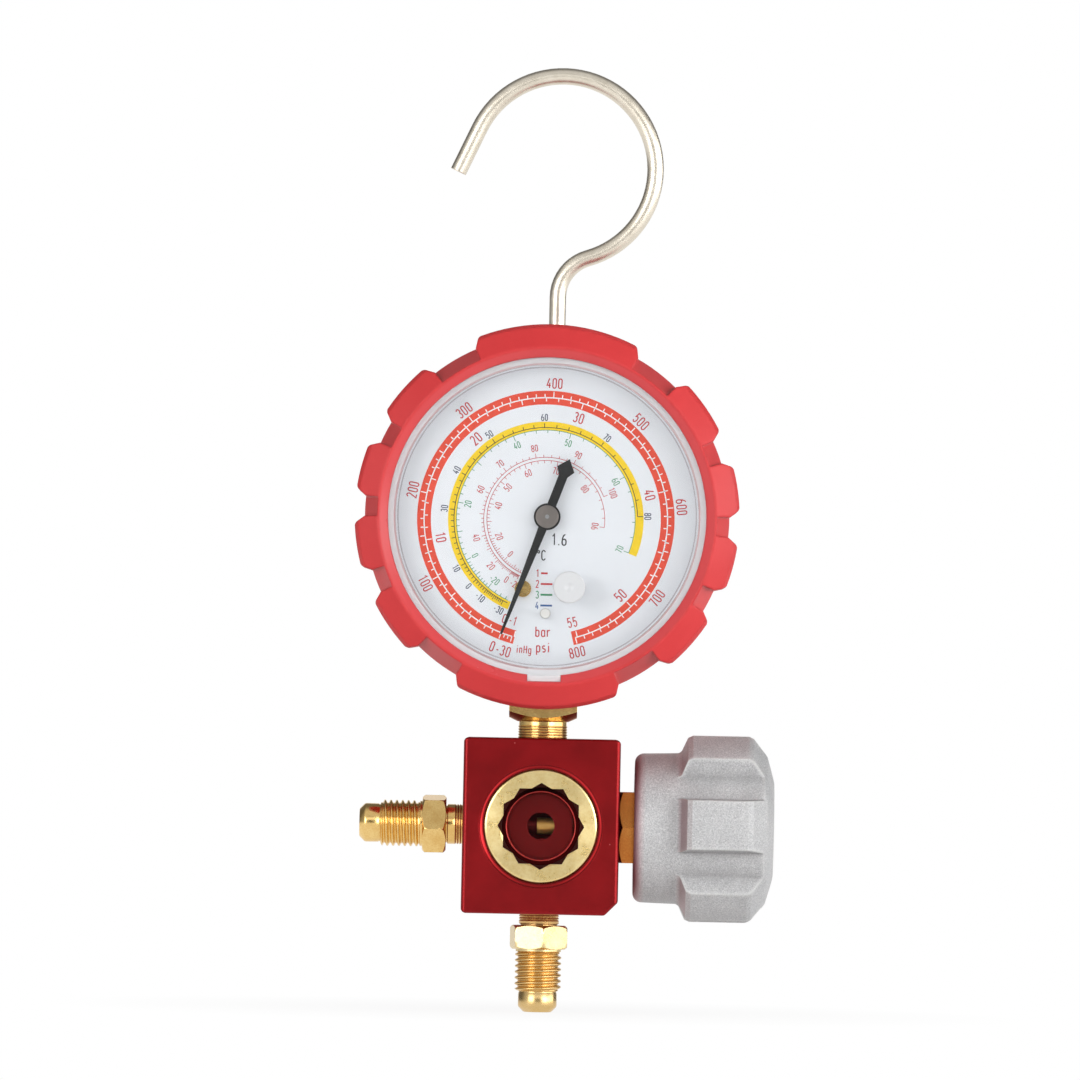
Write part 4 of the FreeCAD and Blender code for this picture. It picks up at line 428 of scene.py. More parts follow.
golden_brass = finish(
    "golden_brass_finish", [srgb(222, 180, 108), srgb(240, 206, 136)], metallic=1.0, roughness=(0.16, 0.24),
    cloud=0.2, grain=2.0, depth=0.004, edge=0.12,
)
pale_brass = two_tone_brass()
plain_steel = finish(
    "steel_finish", [srgb(170, 170, 172), srgb(190, 190, 192)], metallic=1.0, roughness=(0.28, 0.36),
)
plunger_brass = finish(
    "plunger_brass_finish", [srgb(196, 152, 84), srgb(214, 172, 104)], metallic=0.9, roughness=(0.42, 0.5),
    grain=4.0,
)
bronze = finish(
    "bronze_finish", [srgb(186, 138, 78), srgb(204, 158, 96)], metallic=1.0, roughness=(0.25, 0.35),
)
pin_steel = finish(
    "pin_steel_finish", [srgb(230, 229, 225), srgb(242, 241, 237)], metallic=0.5, roughness=(0.4, 0.5),
)
hub_steel = finish(
    "hub_steel_finish", [srgb(138, 132, 128), srgb(158, 150, 145)], metallic=1.0, roughness=(0.3, 0.4),
    grain=6.0,
)
case_steel = finish(
    "case_steel_finish", [srgb(170, 170, 170), srgb(185, 185, 186)], metallic=1.0, roughness=(0.3, 0.4),
)
hook_steel = finish(
    "hook_steel_finish", [srgb(216, 207, 190), srgb(230, 222, 207)], metallic=1.0, roughness=(0.32, 0.38),
    cloud=0.3, grain=5.0, depth=0.001, edge=0.3,
)
knob_cap_plastic = finish(
    "knob_cap_finish", [srgb(150, 18, 24), srgb(170, 24, 30)], metallic=0.0, roughness=(0.3, 0.38),
    grain=5.0,
)
black_rubber = finish(
    "seal_rubber_finish", [srgb(24, 24, 25), srgb(36, 36, 38)], metallic=0.0, roughness=(0.5, 0.6),
)
sight_seal_rubber = finish(
    "sight_seal_finish", [srgb(46, 5, 6), srgb(60, 8, 8)], metallic=0.0, roughness=(0.5, 0.6),
    Specular_IOR_Level=0.15,
)
lens_seal_foam = finish(
    "lens_seal_finish", [srgb(214, 217, 220), srgb(224, 227, 230)], metallic=0.0, roughness=(0.4, 0.5),
)
plug_plastic = finish(
    "plug_plastic_finish", [srgb(244, 246, 248), srgb(250, 251, 253)], metallic=0.0, roughness=(0.3, 0.4),
    edge=0.3, Transmission_Weight=0.2,
)
dial_white = finish(
    "dial_white_finish", [srgb(232, 236, 241), srgb(237, 241, 246)], metallic=0.0, roughness=(0.4, 0.5),
    cloud=0.03, grain=9.0, depth=0.001,
)
pointer_black = finish(
    "pointer_black_finish", [srgb(18, 18, 19), srgb(30, 30, 31)], metallic=0.0, roughness=(0.35, 0.45),
    grain=7.0, edge=0.1,
)
sight_glass = clear("sight_glass_finish", (0.98, 0.985, 0.98, 1), roughness=(0.0, 0.01), bend=1.25)

FINISHES = [
    (anodised(), ["manifold_block"]),
    (pale_brass, ["bottom_hose_fitting"]),
    (golden_brass, [
        "left_hose_fitting", "gauge_socket", "zero_screw", "sector_gear", "movement_back_plate",
        "movement_front_plate", "movement_pillars", "movement_link", "tube_tip", "dial_posts",
    ]),
    (turned_brass(), ["sight_glass_nut"]),
    (bonnet_brass(), ["valve_bonnet"]),
    (plunger_brass, ["valve_plunger"]),
    (bronze, ["bourdon_tube", "hairspring"]),
    (plain_steel, [
        "valve_stem", "knob_screw", "case_screws", "movement_screws", "sector_arbor", "pinion_arbor",
        "hook_grub_screw",
    ]),
    (pin_steel, ["stop_pin"]),
    (hub_steel, ["pointer_hub"]),
    (case_steel, ["gauge_case"]),
    (hook_steel, ["hanging_hook"]),
    (casting(), ["hand_knob"]),
    (knob_cap_plastic, ["knob_cap"]),
    (rubber(), ["rubber_boot"]),
    (black_rubber, ["stem_seals", "bonnet_seal"]),
    (sight_seal_rubber, ["sight_gasket", "sight_seal"]),
    (lens_seal_foam, ["lens_seal"]),
    (lens_plastic(), ["lens"]),
    (sight_glass, ["sight_glass"]),
    (plug_plastic, ["lens_plug"]),
    (dial_white, ["dial_plate"]),
    (pointer_black, ["pointer_blade"]),
]
for material, names in FINISHES:
    for name in names:
        for slot in nodes[name].material_slots:
            slot.material = material


# ---------------------------------------------------------------- pieces

def new_piece(name, points, faces, material, sharp=None):
    """A mesh piece whose points are in millimetres in the part's frame; smooth up to a sharp angle."""
    mesh = bpy.data.meshes.new(name)
    mesh.from_pydata([tuple(part * MM for part in point) for point in points], [], faces)
    mesh.validate()
    mesh.materials.append(material)
    piece = bpy.data.objects.new(name, mesh)
    scene.collection.objects.link(piece)
    if sharp is not None:
        mesh.polygons.foreach_set("use_smooth", [True] * len(mesh.polygons))
        mesh.set_sharp_from_angle(angle=math.radians(sharp))
    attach(piece, "manifold")
    return piece


def lathed(name, rows, count, first_angle, place, material, sharp):
    """A closed tube of rows (height, radius or radius of the angle), turned about its own Z."""
    angles = [math.radians(first_angle + 360 * index / count) for index in range(count)]
    points = []
    for height, radius in rows:
        for angle in angles:
            reach = radius(angle) if callable(radius) else radius
            points.append(place @ Vector((reach * math.cos(angle), reach * math.sin(angle), height)))
    faces = []
    for row in range(len(rows)):
        below, above = row * count, (row + 1) % len(rows) * count
        for index in range(count):
            after = (index + 1) % count
            faces.append((below + index, below + after, above + after, above + index))
    return new_piece(name, points, faces, material, sharp)


# Flare fittings: ringed neck, chamfered hexagon, collar, flare thread and coned nose
BORE_RADIUS = 2.0
FOOT_DEPTH = 5.0
NECK_RADIUS = 4.8
NECK_GROOVE_RADIUS = 4.45
NECK_RING_PITCH = 0.62
NECK_RING_RADIUS = 4.62
NECK_RINGS_END = 1.86
RING_HEIGHT = 0.2
ROWS_PER_RING = 8
HEX_FLAT = 6.35
HEX_TURN = 50.3
HEX_LENGTH = 5.7
HEX_CHAMFER_START = 6.3
HEX_CHAMFER_ANGLE = 30
CHAMFER_ROW_STEP = 0.05
CHAMFER_ROWS = 13
COLLAR_RADIUS = 5.45
COLLAR_LENGTH = 0.6
THREAD_CREST = 5.556
THREAD_DEPTH = 0.72
THREAD_PITCH = 1.4
THREAD_LENGTH = 9.4
THREAD_ROOT = 0.08
THREAD_FLANK = 0.8
THREAD_FADE_IN = 0.5
THREAD_FADE_OUT = 0.4
THREAD_END_RISE = 0.1
ROWS_PER_TURN = 14
NOSE_GROOVE_LENGTH = 0.5
NOSE_LENGTH = 3.2


def hexagon_at(angle):
    """Distance from the axis to the hexagon's face in this direction."""
    turn = (math.degrees(angle) - HEX_TURN + 30) % 60 - 30
    return HEX_FLAT / math.cos(math.radians(turn))


def chamfered(rise):
    """The hexagon's radius at this rise from its end, cut by the chamfer's cone."""
    cone = HEX_CHAMFER_START + rise / math.tan(math.radians(HEX_CHAMFER_ANGLE))
    return lambda angle: min(hexagon_at(angle), cone)


def waved(turns):
    """A wave that is 1 at every whole turn and 0 halfway between."""
    return 0.5 + 0.5 * math.cos(2 * math.pi * turns)


def thread_at(height, start, end):
    """The thread's radius: a rounded V that fades out at both ends."""
    def radius(angle):
        phase = (height - start) / THREAD_PITCH - angle / (2 * math.pi)
        wave = abs((phase % 1.0) * 2 - 1)
        flank = min(1.0, max(0.0, (wave - THREAD_ROOT) / THREAD_FLANK))
        shape = 0.5 - 0.5 * math.cos(math.pi * flank)
        fade_in = max(0.0, (height - start) / THREAD_FADE_IN)
        fade_out = max(0.0, (end - height) / THREAD_FADE_OUT)
        fade = min(1.0, fade_in, fade_out)
        return THREAD_CREST - THREAD_DEPTH * (1 - shape * fade) + (1 - fade) * THREAD_END_RISE
    return radius


def fitting_rows(neck):
    """The fitting's outline from its foot in the block to its nose and back down its bore."""
    rows = [(-FOOT_DEPTH, BORE_RADIUS), (-FOOT_DEPTH, NECK_RADIUS)]
    height = 0.0
    while height < NECK_RINGS_END:
        rows.append((height, NECK_RING_RADIUS + RING_HEIGHT * waved(height / NECK_RING_PITCH)))
        height += NECK_RING_PITCH / ROWS_PER_RING
    rows += [
        (1.9, NECK_RADIUS), (neck - 0.45, NECK_RADIUS),
        (neck - 0.3, NECK_GROOVE_RADIUS), (neck, NECK_GROOVE_RADIUS),
    ]

    # Hexagon with a chamfer at both ends
    hex_end = neck + HEX_LENGTH
    steps = [index * CHAMFER_ROW_STEP for index in range(CHAMFER_ROWS)]
    rows += [(neck + step, chamfered(step)) for step in steps]
    rows += [(neck + HEX_LENGTH * part / 6, chamfered(2)) for part in (2, 3, 4)]
    rows += [(hex_end - step, chamfered(step)) for step in reversed(steps)]
    collar_end = hex_end + COLLAR_LENGTH
    rows += [(hex_end, COLLAR_RADIUS), (collar_end - 0.1, COLLAR_RADIUS), (collar_end, COLLAR_RADIUS - 0.15)]

    # Thread, groove, coned nose and bore
    thread_end = collar_end + THREAD_LENGTH
    height = collar_end + 0.05
    while height < thread_end:
        rows.append((height, thread_at(height, collar_end, thread_end)))
        height += THREAD_PITCH / ROWS_PER_TURN
    nose_end = thread_end + NOSE_GROOVE_LENGTH + NOSE_LENGTH
    rows += [
        (thread_end, 4.75), (thread_end + 0.12, 4.5), (thread_end + 0.4, 4.5), (thread_end + 0.55, 4.62),
        (nose_end - 0.25, 4.66), (nose_end + 0.1, 4.55), (nose_end + 0.3, 4.4),
        (nose_end + 1.2, 3.5), (nose_end + 1.35, 3.3), (nose_end + 1.4, 3.1),
        (nose_end + 1.4, 2.3), (nose_end + 1.2, BORE_RADIUS), (nose_end - 4, BORE_RADIUS),
    ]
    return rows


leftwards = Matrix.Translation((BLOCK_LEFT_SIDE, -PORT_DEPTH, 0)) @ Matrix.Rotation(math.radians(-90), 4, "Y")
downwards = Matrix.Translation((0, -PORT_DEPTH, BLOCK_BOTTOM)) @ Matrix.Rotation(math.radians(180), 4, "X")
for name, neck, place, brass in (
    ("left_hose_fitting", 4.0, leftwards, golden_brass),
    ("bottom_hose_fitting", 2.9, downwards, pale_brass),
):
    fitting = lathed(
        f"threaded_{name}", fitting_rows(neck), count=144, first_angle=HEX_TURN + 30, place=place,
        material=brass, sharp=40,
    )
    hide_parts(name)

# Thread end on the gauge socket's stem, above the block
SOCKET_STEM_RADIUS = 5.4
SOCKET_STEM_START = 20.5
SOCKET_STEM_END = 24.35
SOCKET_RINGS_START = 20.6
SOCKET_RING_RADIUS = 5.72
SOCKET_ROW_STEP = 0.08
SOCKET_ROWS = 46
rows = [(SOCKET_STEM_START, SOCKET_STEM_RADIUS)]
for index in range(SOCKET_ROWS):
    height = SOCKET_RINGS_START + index * SOCKET_ROW_STEP
    rows.append((height, SOCKET_RING_RADIUS + RING_HEIGHT * waved(index / ROWS_PER_RING)))
rows.append((SOCKET_STEM_END, SOCKET_STEM_RADIUS))
lathed(
    "socket_thread", rows, count=96, first_angle=0, place=Matrix.Translation((0, -PORT_DEPTH, 0)),
    material=golden_brass, sharp=60,
)


# ---------------------------------------------------------------- dial printing

INK_COLOURS = {
    "orange": (226, 72, 46),
    "yellow": (240, 204, 16),
    "white": (244, 245, 247),
    "red": (190, 40, 48),
    "black": (44, 44, 50),
    "slate": (44, 58, 88),
    "green": (44, 142, 92),
    "blue": (52, 92, 150),
}
ARC_STEP = 1.5
BOW_STEP = 24
MITRE_LIMIT = 0.45
BAND_INKS = ("orange", "yellow")
BAND_THICKNESS = 0.015
LINE_THICKNESS = 0.03
STROKE_LIFT = 0.002
PRINT_CENTRE = (-0.3, -0.6)
sheets = {colour: ([], []) for colour in INK_COLOURS}


def print_shape(colour, corners, faces, lift=0.0):
    """Adds flat corners (x, z from the print's centre, in millimetres) to one ink's mesh."""
    points, all_faces = sheets[colour]
    first = len(points)
    depth = DIAL_DEPTH + (BAND_THICKNESS if colour in BAND_INKS else LINE_THICKNESS) + lift
    points += [(x + PRINT_CENTRE[0], -depth, GAUGE_HEIGHT + PRINT_CENTRE[1] + z) for x, z in corners]
    all_faces += [tuple(first + index for index in face) for face in faces]


def rectangle(left, bottom, right, top):
    return [(left, bottom), (right, bottom), (right, top), (left, top)]


def polar(radius, degrees):
    return radius * math.cos(math.radians(degrees)), radius * math.sin(math.radians(degrees))


def print_arc(colour, inner, outer, start, end):
    """A band between two radii from one angle to another."""
    steps = max(2, int(abs(end - start) / ARC_STEP))
    corners = []
    for index in range(steps + 1):
        angle = start + (end - start) * index / steps
        corners += [polar(inner, angle), polar(outer, angle)]
    print_shape(colour, corners, [(2 * i, 2 * i + 1, 2 * i + 3, 2 * i + 2) for i in range(steps)])


def print_tick(colour, inner, outer, degrees, width):
    """A short line along the radius at an angle."""
    along = Vector(polar(1, degrees))
    across = Vector((-along.y, along.x)) * (width / 2)
    corners = [along * inner - across, along * inner + across, along * outer + across, along * outer - across]
    print_shape(colour, [tuple(corner) for corner in corners], [(0, 1, 2, 3)])


def bow(x, y, across, up, start, end):
    """Points along an arc of an ellipse."""
    steps = max(3, int(abs(end - start) / BOW_STEP))
    angles = [math.radians(start + (end - start) * index / steps) for index in range(steps + 1)]
    return [(x + across * math.cos(angle), y + up * math.sin(angle)) for angle in angles]


def loop(x, y, across, up):
    """A closed oval with straight sides where it is taller than wide."""
    straight = max(0.0, up - across)
    top = bow(x, y + straight, across, min(up, across), 0, 180)
    bottom = bow(x, y - straight, across, min(up, across), 180, 360)
    return top + bottom + top[:1]


# Strokes of each sign; a digit is 1 high and centred on x = 0
SIX = [bow(0.14, 0.3, 0.34, 0.7, 95, 180), loop(0, 0.28, 0.2, 0.28)]
SIGNS = {
    "0": [loop(0, 0.5, 0.19, 0.5)],
    "1": [[(-0.13, 0.8), (0.05, 1.0), (0.05, 0)]],
    "2": [bow(0, 0.77, 0.19, 0.23, 165, -30) + [(-0.19, 0.0), (0.2, 0.0)]],
    "3": [bow(-0.01, 0.76, 0.18, 0.24, 155, -80), bow(-0.01, 0.26, 0.2, 0.26, 85, -155)],
    "4": [[(0.05, 1.0), (-0.2, 0.27), (0.22, 0.27)], [(0.1, 0.55), (0.1, 0)]],
    "5": [[(0.17, 1.0), (-0.15, 1.0), (-0.17, 0.56)] + bow(0, 0.32, 0.19, 0.32, 115, -150)],
    "6": SIX,
    "7": [[(-0.2, 1.0), (0.19, 1.0), (-0.04, 0)]],
    "8": [loop(0, 0.76, 0.17, 0.24), loop(0, 0.26, 0.2, 0.26)],
    "9": [[(-x, 1 - y) for x, y in stroke] for stroke in SIX],
    "-": [[(-0.12, 0.42), (0.12, 0.42)]],
    ".": [[(0, 0.0), (0, 0.1)]],
    "a": [loop(0, 0.33, 0.18, 0.33), [(0.18, 0.68), (0.18, 0)]],
    "b": [loop(0, 0.33, 0.18, 0.33), [(-0.18, 1.02), (-0.18, 0)]],
    "r": [[(-0.12, 0), (-0.12, 0.68)], bow(0.08, 0.4, 0.2, 0.26, 180, 60)],
    "p": [loop(0, 0.33, 0.18, 0.33), [(-0.18, 0.68), (-0.18, -0.3)]],
    "s": [bow(0, 0.49, 0.15, 0.16, 40, 260) + bow(0, 0.17, 0.16, 0.17, 80, -145)],
    "i": [[(0, 0), (0, 0.66)], [(0, 0.86), (0, 0.96)]],
    "n": [[(-0.16, 0), (-0.16, 0.68)], bow(0, 0.46, 0.16, 0.2, 180, 0) + [(0.16, 0)]],
    "g": [loop(0, 0.33, 0.17, 0.33), [(0.17, 0.68)] + bow(0, -0.1, 0.17, 0.18, 0, -150)],
    "H": [[(-0.19, 0), (-0.19, 1)], [(0.19, 0), (0.19, 1)], [(-0.19, 0.52), (0.19, 0.52)]],
    "C": [bow(0, 0.74, 0.2, 0.26, 20, 180) + bow(0, 0.26, 0.2, 0.26, 180, 340)],
    "\u00b0": [loop(0, 0.86, 0.11, 0.13)],
}
HALF_WIDTH = 0.2
NARROW_HALF_WIDTHS = {"1": 0.16, "-": 0.15, ".": 0.08, "i": 0.07, "r": 0.15, "\u00b0": 0.13}
SIGN_GAP = 0.26
SIGN_STRETCH = 0.9
STROKE_WEIGHT = 0.12
SAME_PLACE = 1e-6


def print_stroke(colour, points, thickness, lift):
    """A line of even thickness through points, mitred at its corners."""
    closed = (Vector(points[0]) - Vector(points[-1])).length < SAME_PLACE
    line = [Vector(point) for point in (points[:-1] if closed else points)]
    line = [point for index, point in enumerate(line)
            if index == 0 or (point - line[index - 1]).length > SAME_PLACE]
    count = len(line)
    edges = []
    for index, point in enumerate(line):
        before = line[index - 1] if index or closed else point
        after = line[(index + 1) % count] if index < count - 1 or closed else point
        into = (point - before).normalized() if (point - before).length else (after - point).normalized()
        away = (after - point).normalized() if (after - point).length else into
        normal = (Vector((-into.y, into.x)) + Vector((-away.y, away.x))).normalized()
        reach = thickness / 2 / max(MITRE_LIMIT, normal.dot(Vector((-into.y, into.x))))
        edges += [tuple(point - normal * reach), tuple(point + normal * reach)]
    spans = count if closed else count - 1
    faces = []
    for index in range(spans):
        near, far = 2 * index, 2 * ((index + 1) % count)
        faces.append((near, far, far + 1, near + 1))
    print_shape(colour, edges, faces, lift)


def print_text(colour, text, centre, height, turn=0.0, weight=STROKE_WEIGHT):
    """Text centred on a point, turned counter-clockwise in degrees."""
    halves = [NARROW_HALF_WIDTHS.get(sign, HALF_WIDTH) for sign in text]
    total = 2 * sum(halves) + SIGN_GAP * (len(text) - 1)
    cosine, sine = math.cos(math.radians(turn)), math.sin(math.radians(turn))
    along = -total / 2
    layer = 0
    for sign, half in zip(text, halves):
        along += half
        for stroke in SIGNS[sign]:
            placed = []
            for x, y in stroke:
                across, up = (x + along) * height * SIGN_STRETCH, (y - 0.5) * height
                placed.append((
                    centre[0] + across * cosine - up * sine,
                    centre[1] + across * sine + up * cosine,
                ))
            print_stroke(colour, placed, weight * height, layer * STROKE_LIFT)
            layer += 1
        along += half + SIGN_GAP


def print_number(colour, number, degrees, radius, height, weight=STROKE_WEIGHT):
    """A number on a scale: upright outwards in the dial's upper half, inwards in its lower half."""
    turn = degrees - 90 if math.sin(math.radians(degrees)) >= 0 else degrees + 90
    print_text(colour, str(number), polar(radius, degrees), height, turn, weight)


def along_scale(marks, reading):
    """Angle of a reading between known (reading, angle) marks."""
    for (low, low_angle), (high, high_angle) in zip(marks, marks[1:]):
        if reading <= high:
            break
    return low_angle + (high_angle - low_angle) * (reading - low) / (high - low)


# Pressure band: psi outside its middle line, bar inside it; angles in degrees
ZERO_ANGLE = 249.65
PER_PSI = 0.4055
PSI_IN_BAR = 14.504
PER_BAR = PER_PSI * PSI_IN_BAR
HIGHEST_PSI = 800
LOWEST_BAR, HIGHEST_BAR = -1, 55
MIDDLE_RADIUS = 29.1
PSI_TICK_REACHES = ((100, 30.6), (50, 30.3), (10, 30.0))
BAR_TICK_REACHES = ((10, 27.7), (5, 27.9), (1, 28.25))
VACUUM_TICKS = ((1.8, 30.0), (3.6, 30.0), (5.35, 30.4))
BAND_TICK_WIDTH = 0.24
LARGE_DIGIT = 2.3


def reach_of(reading, reaches):
    """The reach that belongs to the largest step that a reading is a multiple of."""
    return next(reach for step, reach in reaches if reading % step == 0)


print_arc("orange", inner=27.5, outer=30.8, start=256.3, end=-76.3)
print_arc("white", inner=28.98, outer=29.26, start=255.0, end=ZERO_ANGLE - HIGHEST_PSI * PER_PSI)
for psi in range(0, HIGHEST_PSI + 1, 10):
    reach = reach_of(psi, PSI_TICK_REACHES)
    print_tick("white", MIDDLE_RADIUS, reach, ZERO_ANGLE - psi * PER_PSI, BAND_TICK_WIDTH)
for turn, reach in VACUUM_TICKS:
    print_tick("white", MIDDLE_RADIUS, reach, ZERO_ANGLE + turn, BAND_TICK_WIDTH)
for bar in range(LOWEST_BAR, HIGHEST_BAR + 1):
    at_end = bar in (LOWEST_BAR, HIGHEST_BAR)
    reach = BAR_TICK_REACHES[0][1] if at_end else reach_of(bar, BAR_TICK_REACHES)
    angle = ZERO_ANGLE - bar * PER_BAR + (0.5 if bar == LOWEST_BAR else 0)
    print_tick("white", reach, MIDDLE_RADIUS, angle, BAND_TICK_WIDTH)
for psi in range(100, HIGHEST_PSI, 100):
    print_number("red", psi, ZERO_ANGLE - psi * PER_PSI, radius=32.6, height=LARGE_DIGIT)
for text, centre, turn in (
    ("800", (8.1, -31.6), 14), ("0", (-12.2, -30.6), -20), ("-30", (-9.6, -31.6), -16),
):
    print_text("red", text, centre, LARGE_DIGIT, turn)
for bar in (10, 20, 30, 40, 50):
    print_number("red", bar, ZERO_ANGLE - bar * PER_BAR, radius=25.5, height=LARGE_DIGIT)
for text, centre, height, turn in (
    ("55", (6.8, -24.5), 2.2, 12), ("0", (-9.4, -23.9), 2.0, -18), ("-1", (-7.4, -24.4), 2.0, -16),
    ("inHg", (-4.6, -31.2), 1.8, -3),
    ("psi", (-0.1, -30.6), LARGE_DIGIT, 0), ("bar", (-0.2, -26.9), LARGE_DIGIT, 0),
):
    print_text("red", text, centre, height, turn)

# Temperature scales: (reading, angle) marks that were read off the photograph
YELLOW_BAND_MARKS = [(-30, 243.4), (-10, 231.0), (0, 222.0), (10, 209.8), (30, 175.0), (40, 152.2),
                     (50, 124.8), (60, 91.9), (70, 54.2), (80, 2.8)]
GREEN_MARKS = [(-20, 230.9), (0, 208.2), (20, 170.0), (40, 112.4), (50, 74.8), (60, 29.5), (70, -20.9)]
OUTER_RED_MARKS = [(-20, 245.6), (0, 237.9), (20, 221.5), (40, 195.9), (60, 156.5), (70, 130.7),
                   (80, 100.2), (90, 64.4), (100, 22.6)]
INNER_RED_MARKS = [(0, 225.5), (20, 201.2), (40, 165.2), (50, 141.2), (60, 112.2), (70, 79.2),
                   (80, 39.0), (90, -6.8)]
INNER_RED_START = (-20, 249.9)
SMALL_DIGIT = 1.5
DEGREE_STEP = 2


def print_ticks(colour, marks, first, line, tens, twos, width):
    """Ticks from a scale's line to the reach of its tens, or of the twos between them."""
    for degree in range(first, marks[-1][0] + 1, DEGREE_STEP):
        inner, outer = sorted((line, tens if degree % 10 == 0 else twos))
        print_tick(colour, inner, outer, along_scale(marks, degree), width)


def print_numbers(colour, marks, radius, weight=STROKE_WEIGHT):
    for degree, angle in marks:
        print_number(colour, degree, angle, radius, SMALL_DIGIT, weight)


print_arc("yellow", inner=21.45, outer=23.4, start=248.2, end=-21.3)
print_arc("black", inner=21.88, outer=22.06, start=246.5, end=2.8)
print_ticks("black", YELLOW_BAND_MARKS[:-1], first=-30, line=21.95, tens=23.0, twos=22.7, width=0.19)
for degree in range(72, 81, DEGREE_STEP):
    reach = 23.3 if degree == 80 else 22.7
    print_tick("black", 21.95, reach, along_scale(YELLOW_BAND_MARKS, degree), width=0.19)
print_numbers("slate", YELLOW_BAND_MARKS, radius=24.4, weight=0.14)

print_arc("green", inner=21.3, outer=21.44, start=246.0, end=-20.9)
print_ticks("green", GREEN_MARKS, first=-20, line=21.35, tens=20.1, twos=20.65, width=0.15)
for angle in (244.2, 240.2, 236.2):
    print_tick("green", 20.65, 21.35, angle, width=0.15)
print_numbers("green", GREEN_MARKS, radius=19.0)

print_arc("red", inner=14.79, outer=14.93, start=247.0, end=22.6)
print_arc("red", inner=14.03, outer=14.17, start=247.0, end=-6.8)
print_ticks("red", OUTER_RED_MARKS, first=-20, line=14.85, tens=15.9, twos=15.45, width=0.13)
inner_ticks = [INNER_RED_START, *INNER_RED_MARKS]
print_ticks("red", inner_ticks, first=-16, line=14.1, tens=12.95, twos=13.45, width=0.13)
print_numbers("red", OUTER_RED_MARKS, radius=17.2)
print_numbers("red", INNER_RED_MARKS, radius=11.85)

# Accuracy figure, unit, and plain numbered bars in the scales' colours
print_text("black", "1.6", (3.3, -4.8), height=2.6)
print_text("black", "\u00b0C", (-0.9, -8.6), LARGE_DIGIT)
KEY_TOP = -12.9
KEY_STEP = 2.57
KEY_DIGIT = 1.7
KEY_DIGIT_PLACE = -1.7
KEY_LEFT = -0.9
KEY_HALF_HEIGHT = 0.22
for row, (colour, length) in enumerate((("red", 1.6), ("red", 2.8), ("green", 2.8), ("blue", 2.8))):
    level = KEY_TOP - KEY_STEP * row
    print_text(colour, str(row + 1), (KEY_DIGIT_PLACE, level), KEY_DIGIT)
    bar = rectangle(KEY_LEFT, level - KEY_HALF_HEIGHT, KEY_LEFT + length, level + KEY_HALF_HEIGHT)
    print_shape(colour, bar, [(0, 1, 2, 3)])

for colour, (points, faces) in sheets.items():
    material = ink(f"ink_{colour}", srgb(*INK_COLOURS[colour]))
    new_piece(f"dial_print_{colour}", points, faces, material)


# ---------------------------------------------------------------- floor, light and camera

WHITE = (1, 1, 1, 1)
FLOOR_RADIUS = 2.5
FLOOR_SIDES = 48
FLOOR_GAP = 0.0002


def grey(level):
    return (level, level, level, 1)


def studio_floor():
    """Pale floor that fades to plain white away from the object."""
    material, tree, shader = new_tree("floor_finish")
    place = add(tree, "ShaderNodeTexCoord").outputs["Object"]
    fade = ranged(tree, length_of(tree, place), 0.92, 1.0, 0.02, 0.12)
    shade = noise(tree, place, scale=3.0)
    tree.links.new(ramp(tree, shade, [(0.3, grey(0.9)), (0.7, grey(0.92))]), shader.inputs["Base Color"])
    shader.inputs["Roughness"].default_value = 0.8
    white = add(tree, "ShaderNodeEmission", {"Color": WHITE, "Strength": 1.0}).outputs[0]
    path = add(tree, "ShaderNodeLightPath").outputs
    seen = calculated(tree, "MAXIMUM", path["Is Camera Ray"], path["Is Glossy Ray"])
    seen = calculated(tree, "MAXIMUM", seen, path["Is Transmission Ray"])
    mixed = mixed_shader(tree, product(tree, seen, fade), shader.outputs[0], white)
    tree.links.new(mixed, tree.nodes["Material Output"].inputs["Surface"])
    return material


mesh = bpy.data.meshes.new("floor")
angles = [2 * math.pi * index / FLOOR_SIDES for index in range(FLOOR_SIDES)]
rim = [(FLOOR_RADIUS * math.cos(angle), FLOOR_RADIUS * math.sin(angle), 0) for angle in angles]
mesh.from_pydata(rim, [], [tuple(range(FLOOR_SIDES))])
mesh.materials.append(studio_floor())
floor = bpy.data.objects.new("floor", mesh)
floor.location = (0, 0, cad_box[0].z - FLOOR_GAP)
scene.collection.objects.link(floor)


def studio_world():
    """A grey room round the camera, white behind the object and for the camera itself."""
    world = bpy.data.worlds.new("studio")
    world.use_nodes = True
    tree = world.node_tree
    way = parts_of(tree, add(tree, "ShaderNodeTexCoord").outputs["Generated"])

    # Grey level from the camera's side, 0, to the side behind the object, 1
    room = ramp(tree, rising(tree, way["Y"], -1.0, 1.0), [
        (0.0, grey(0.1)), (0.02, grey(0.14)), (0.07, grey(0.4)), (0.16, grey(0.6)), (0.35, grey(0.6)),
        (0.5, grey(0.35)), (0.64, grey(0.14)), (0.9, grey(0.14)),
    ])
    path = add(tree, "ShaderNodeLightPath").outputs
    mirrored = calculated(tree, "MAXIMUM", path["Is Glossy Ray"], path["Is Transmission Ray"])

    # Brighter above and below in reflections, darker there in plain light
    upwards = calculated(tree, "ABSOLUTE", way["Z"])
    level = ranged(tree, upwards, 1.05, ranged(tree, mirrored, 0.3, 1.3, 0.0, 1.0), 0.15, 0.8)
    room = add(tree, "ShaderNodeVectorMath", {0: room, "Scale": level}, operation="SCALE").outputs["Vector"]
    shown = product(tree, mirrored, rising(tree, way["Y"], 0.84, 0.93))
    shown = calculated(tree, "MAXIMUM", shown, path["Is Camera Ray"])
    background = tree.nodes["Background"]
    tree.links.new(mixed_colour(tree, shown, room, WHITE), background.inputs["Color"])
    background.inputs["Strength"].default_value = 1.0
    return world


scene.world = studio_world()
LAMP_AIM = Vector((0, -0.02, 0.06))


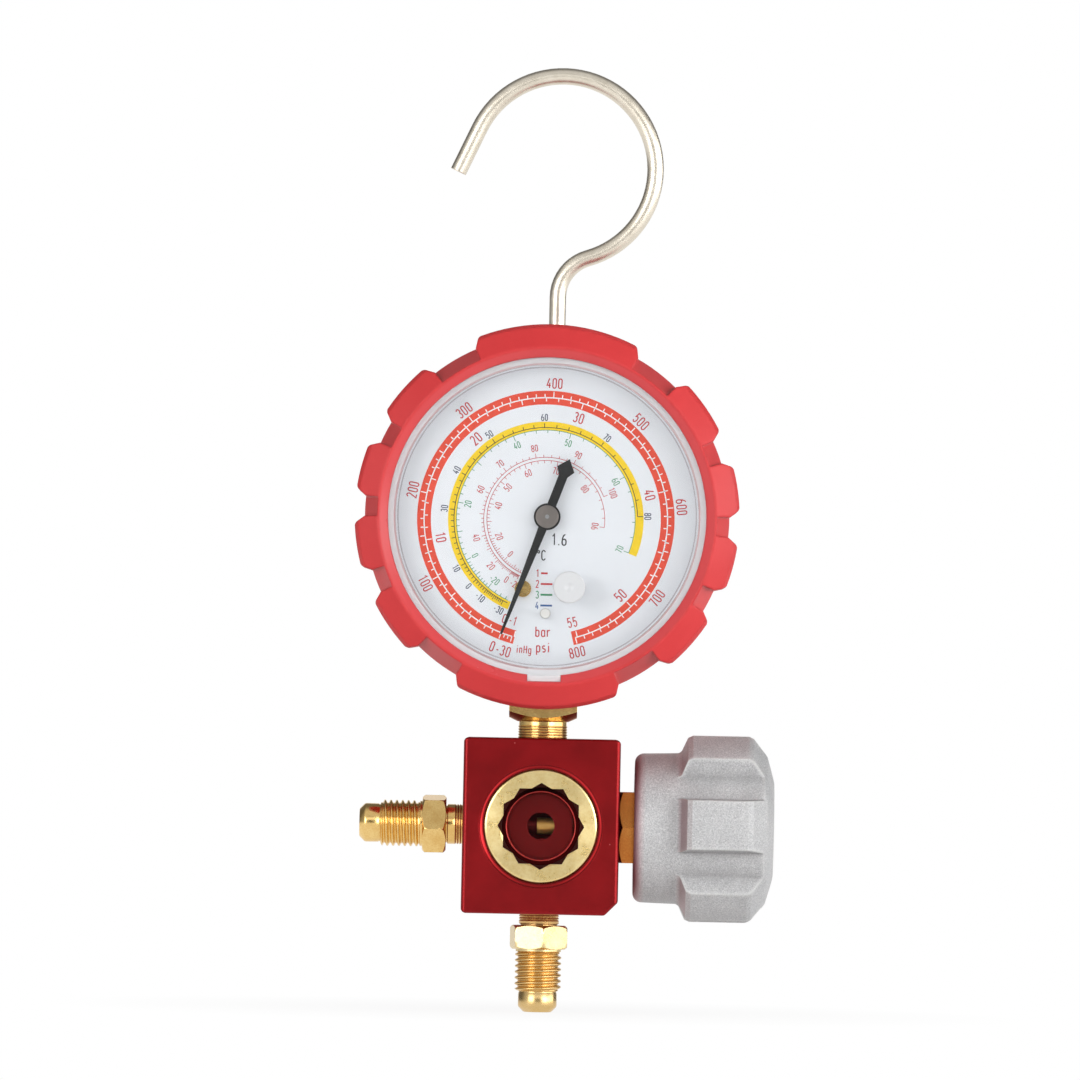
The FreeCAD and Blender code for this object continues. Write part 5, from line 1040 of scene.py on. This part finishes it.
def softbox(name, azimuth, elevation, distance, width, height, level, unseen=()):
    """A rectangular lamp aimed at the object; its level is its brightness, where 1 is white."""
    lamp = bpy.data.lights.new(name, "AREA")
    lamp.shape = "RECTANGLE"
    lamp.size = width
    lamp.size_y = height
    lamp.energy = level * math.pi * width * height
    turn, lift = math.radians(azimuth), math.radians(elevation)
    towards = Vector((math.sin(turn) * math.cos(lift), -math.cos(turn) * math.cos(lift), math.sin(lift)))
    holder = bpy.data.objects.new(name, lamp)
    holder.location = LAMP_AIM + towards * distance
    holder.rotation_euler = towards.to_track_quat("Z", "Y").to_euler()
    for rays in unseen:
        setattr(holder, f"visible_{rays}", False)
    scene.collection.objects.link(holder)


softbox("softbox_right", azimuth=52, elevation=-3, distance=1.5, width=1.3, height=1.1, level=3.2)
softbox("softbox_left", azimuth=-38, elevation=0, distance=1.5, width=0.9, height=1.2, level=2.8)
softbox("softbox_top", azimuth=4, elevation=20, distance=1.5, width=1.1, height=0.4, level=1.1)
softbox("softbox_side", azimuth=92, elevation=0, distance=1.5, width=0.9, height=1.3, level=2.6)
softbox("softbox_front", azimuth=4, elevation=3, distance=2.0, width=1.0, height=0.8, level=3.0,
        unseen=("glossy", "transmission"))
softbox("strip_left", azimuth=-36, elevation=3, distance=1.5, width=0.7, height=1.2, level=1.8,
        unseen=("diffuse", "transmission"))
softbox("strip_right", azimuth=42, elevation=3, distance=1.5, width=0.7, height=1.2, level=2.4,
        unseen=("diffuse", "transmission"))

# Camera: three metres away, almost level, rolled a little as in the photograph
CAMERA_PLACE = Vector((0.0, -3.0223, 0.0286))
CAMERA_TARGET = Vector((-0.0016, -0.0225, 0.0686))
CAMERA_ROLL = 1.17
camera_data = bpy.data.cameras.new("camera")
camera_data.sensor_width = 36.0
camera_data.lens = 416.4
camera_data.clip_end = 20.0
camera = bpy.data.objects.new("camera", camera_data)
aim = (CAMERA_PLACE - CAMERA_TARGET).to_track_quat("Z", "Y")
camera.location = CAMERA_PLACE
camera.rotation_mode = "QUATERNION"
camera.rotation_quaternion = aim @ Quaternion((0, 0, 1), math.radians(CAMERA_ROLL))
scene.collection.objects.link(camera)
scene.camera = camera
scene.view_settings.view_transform = "Standard"
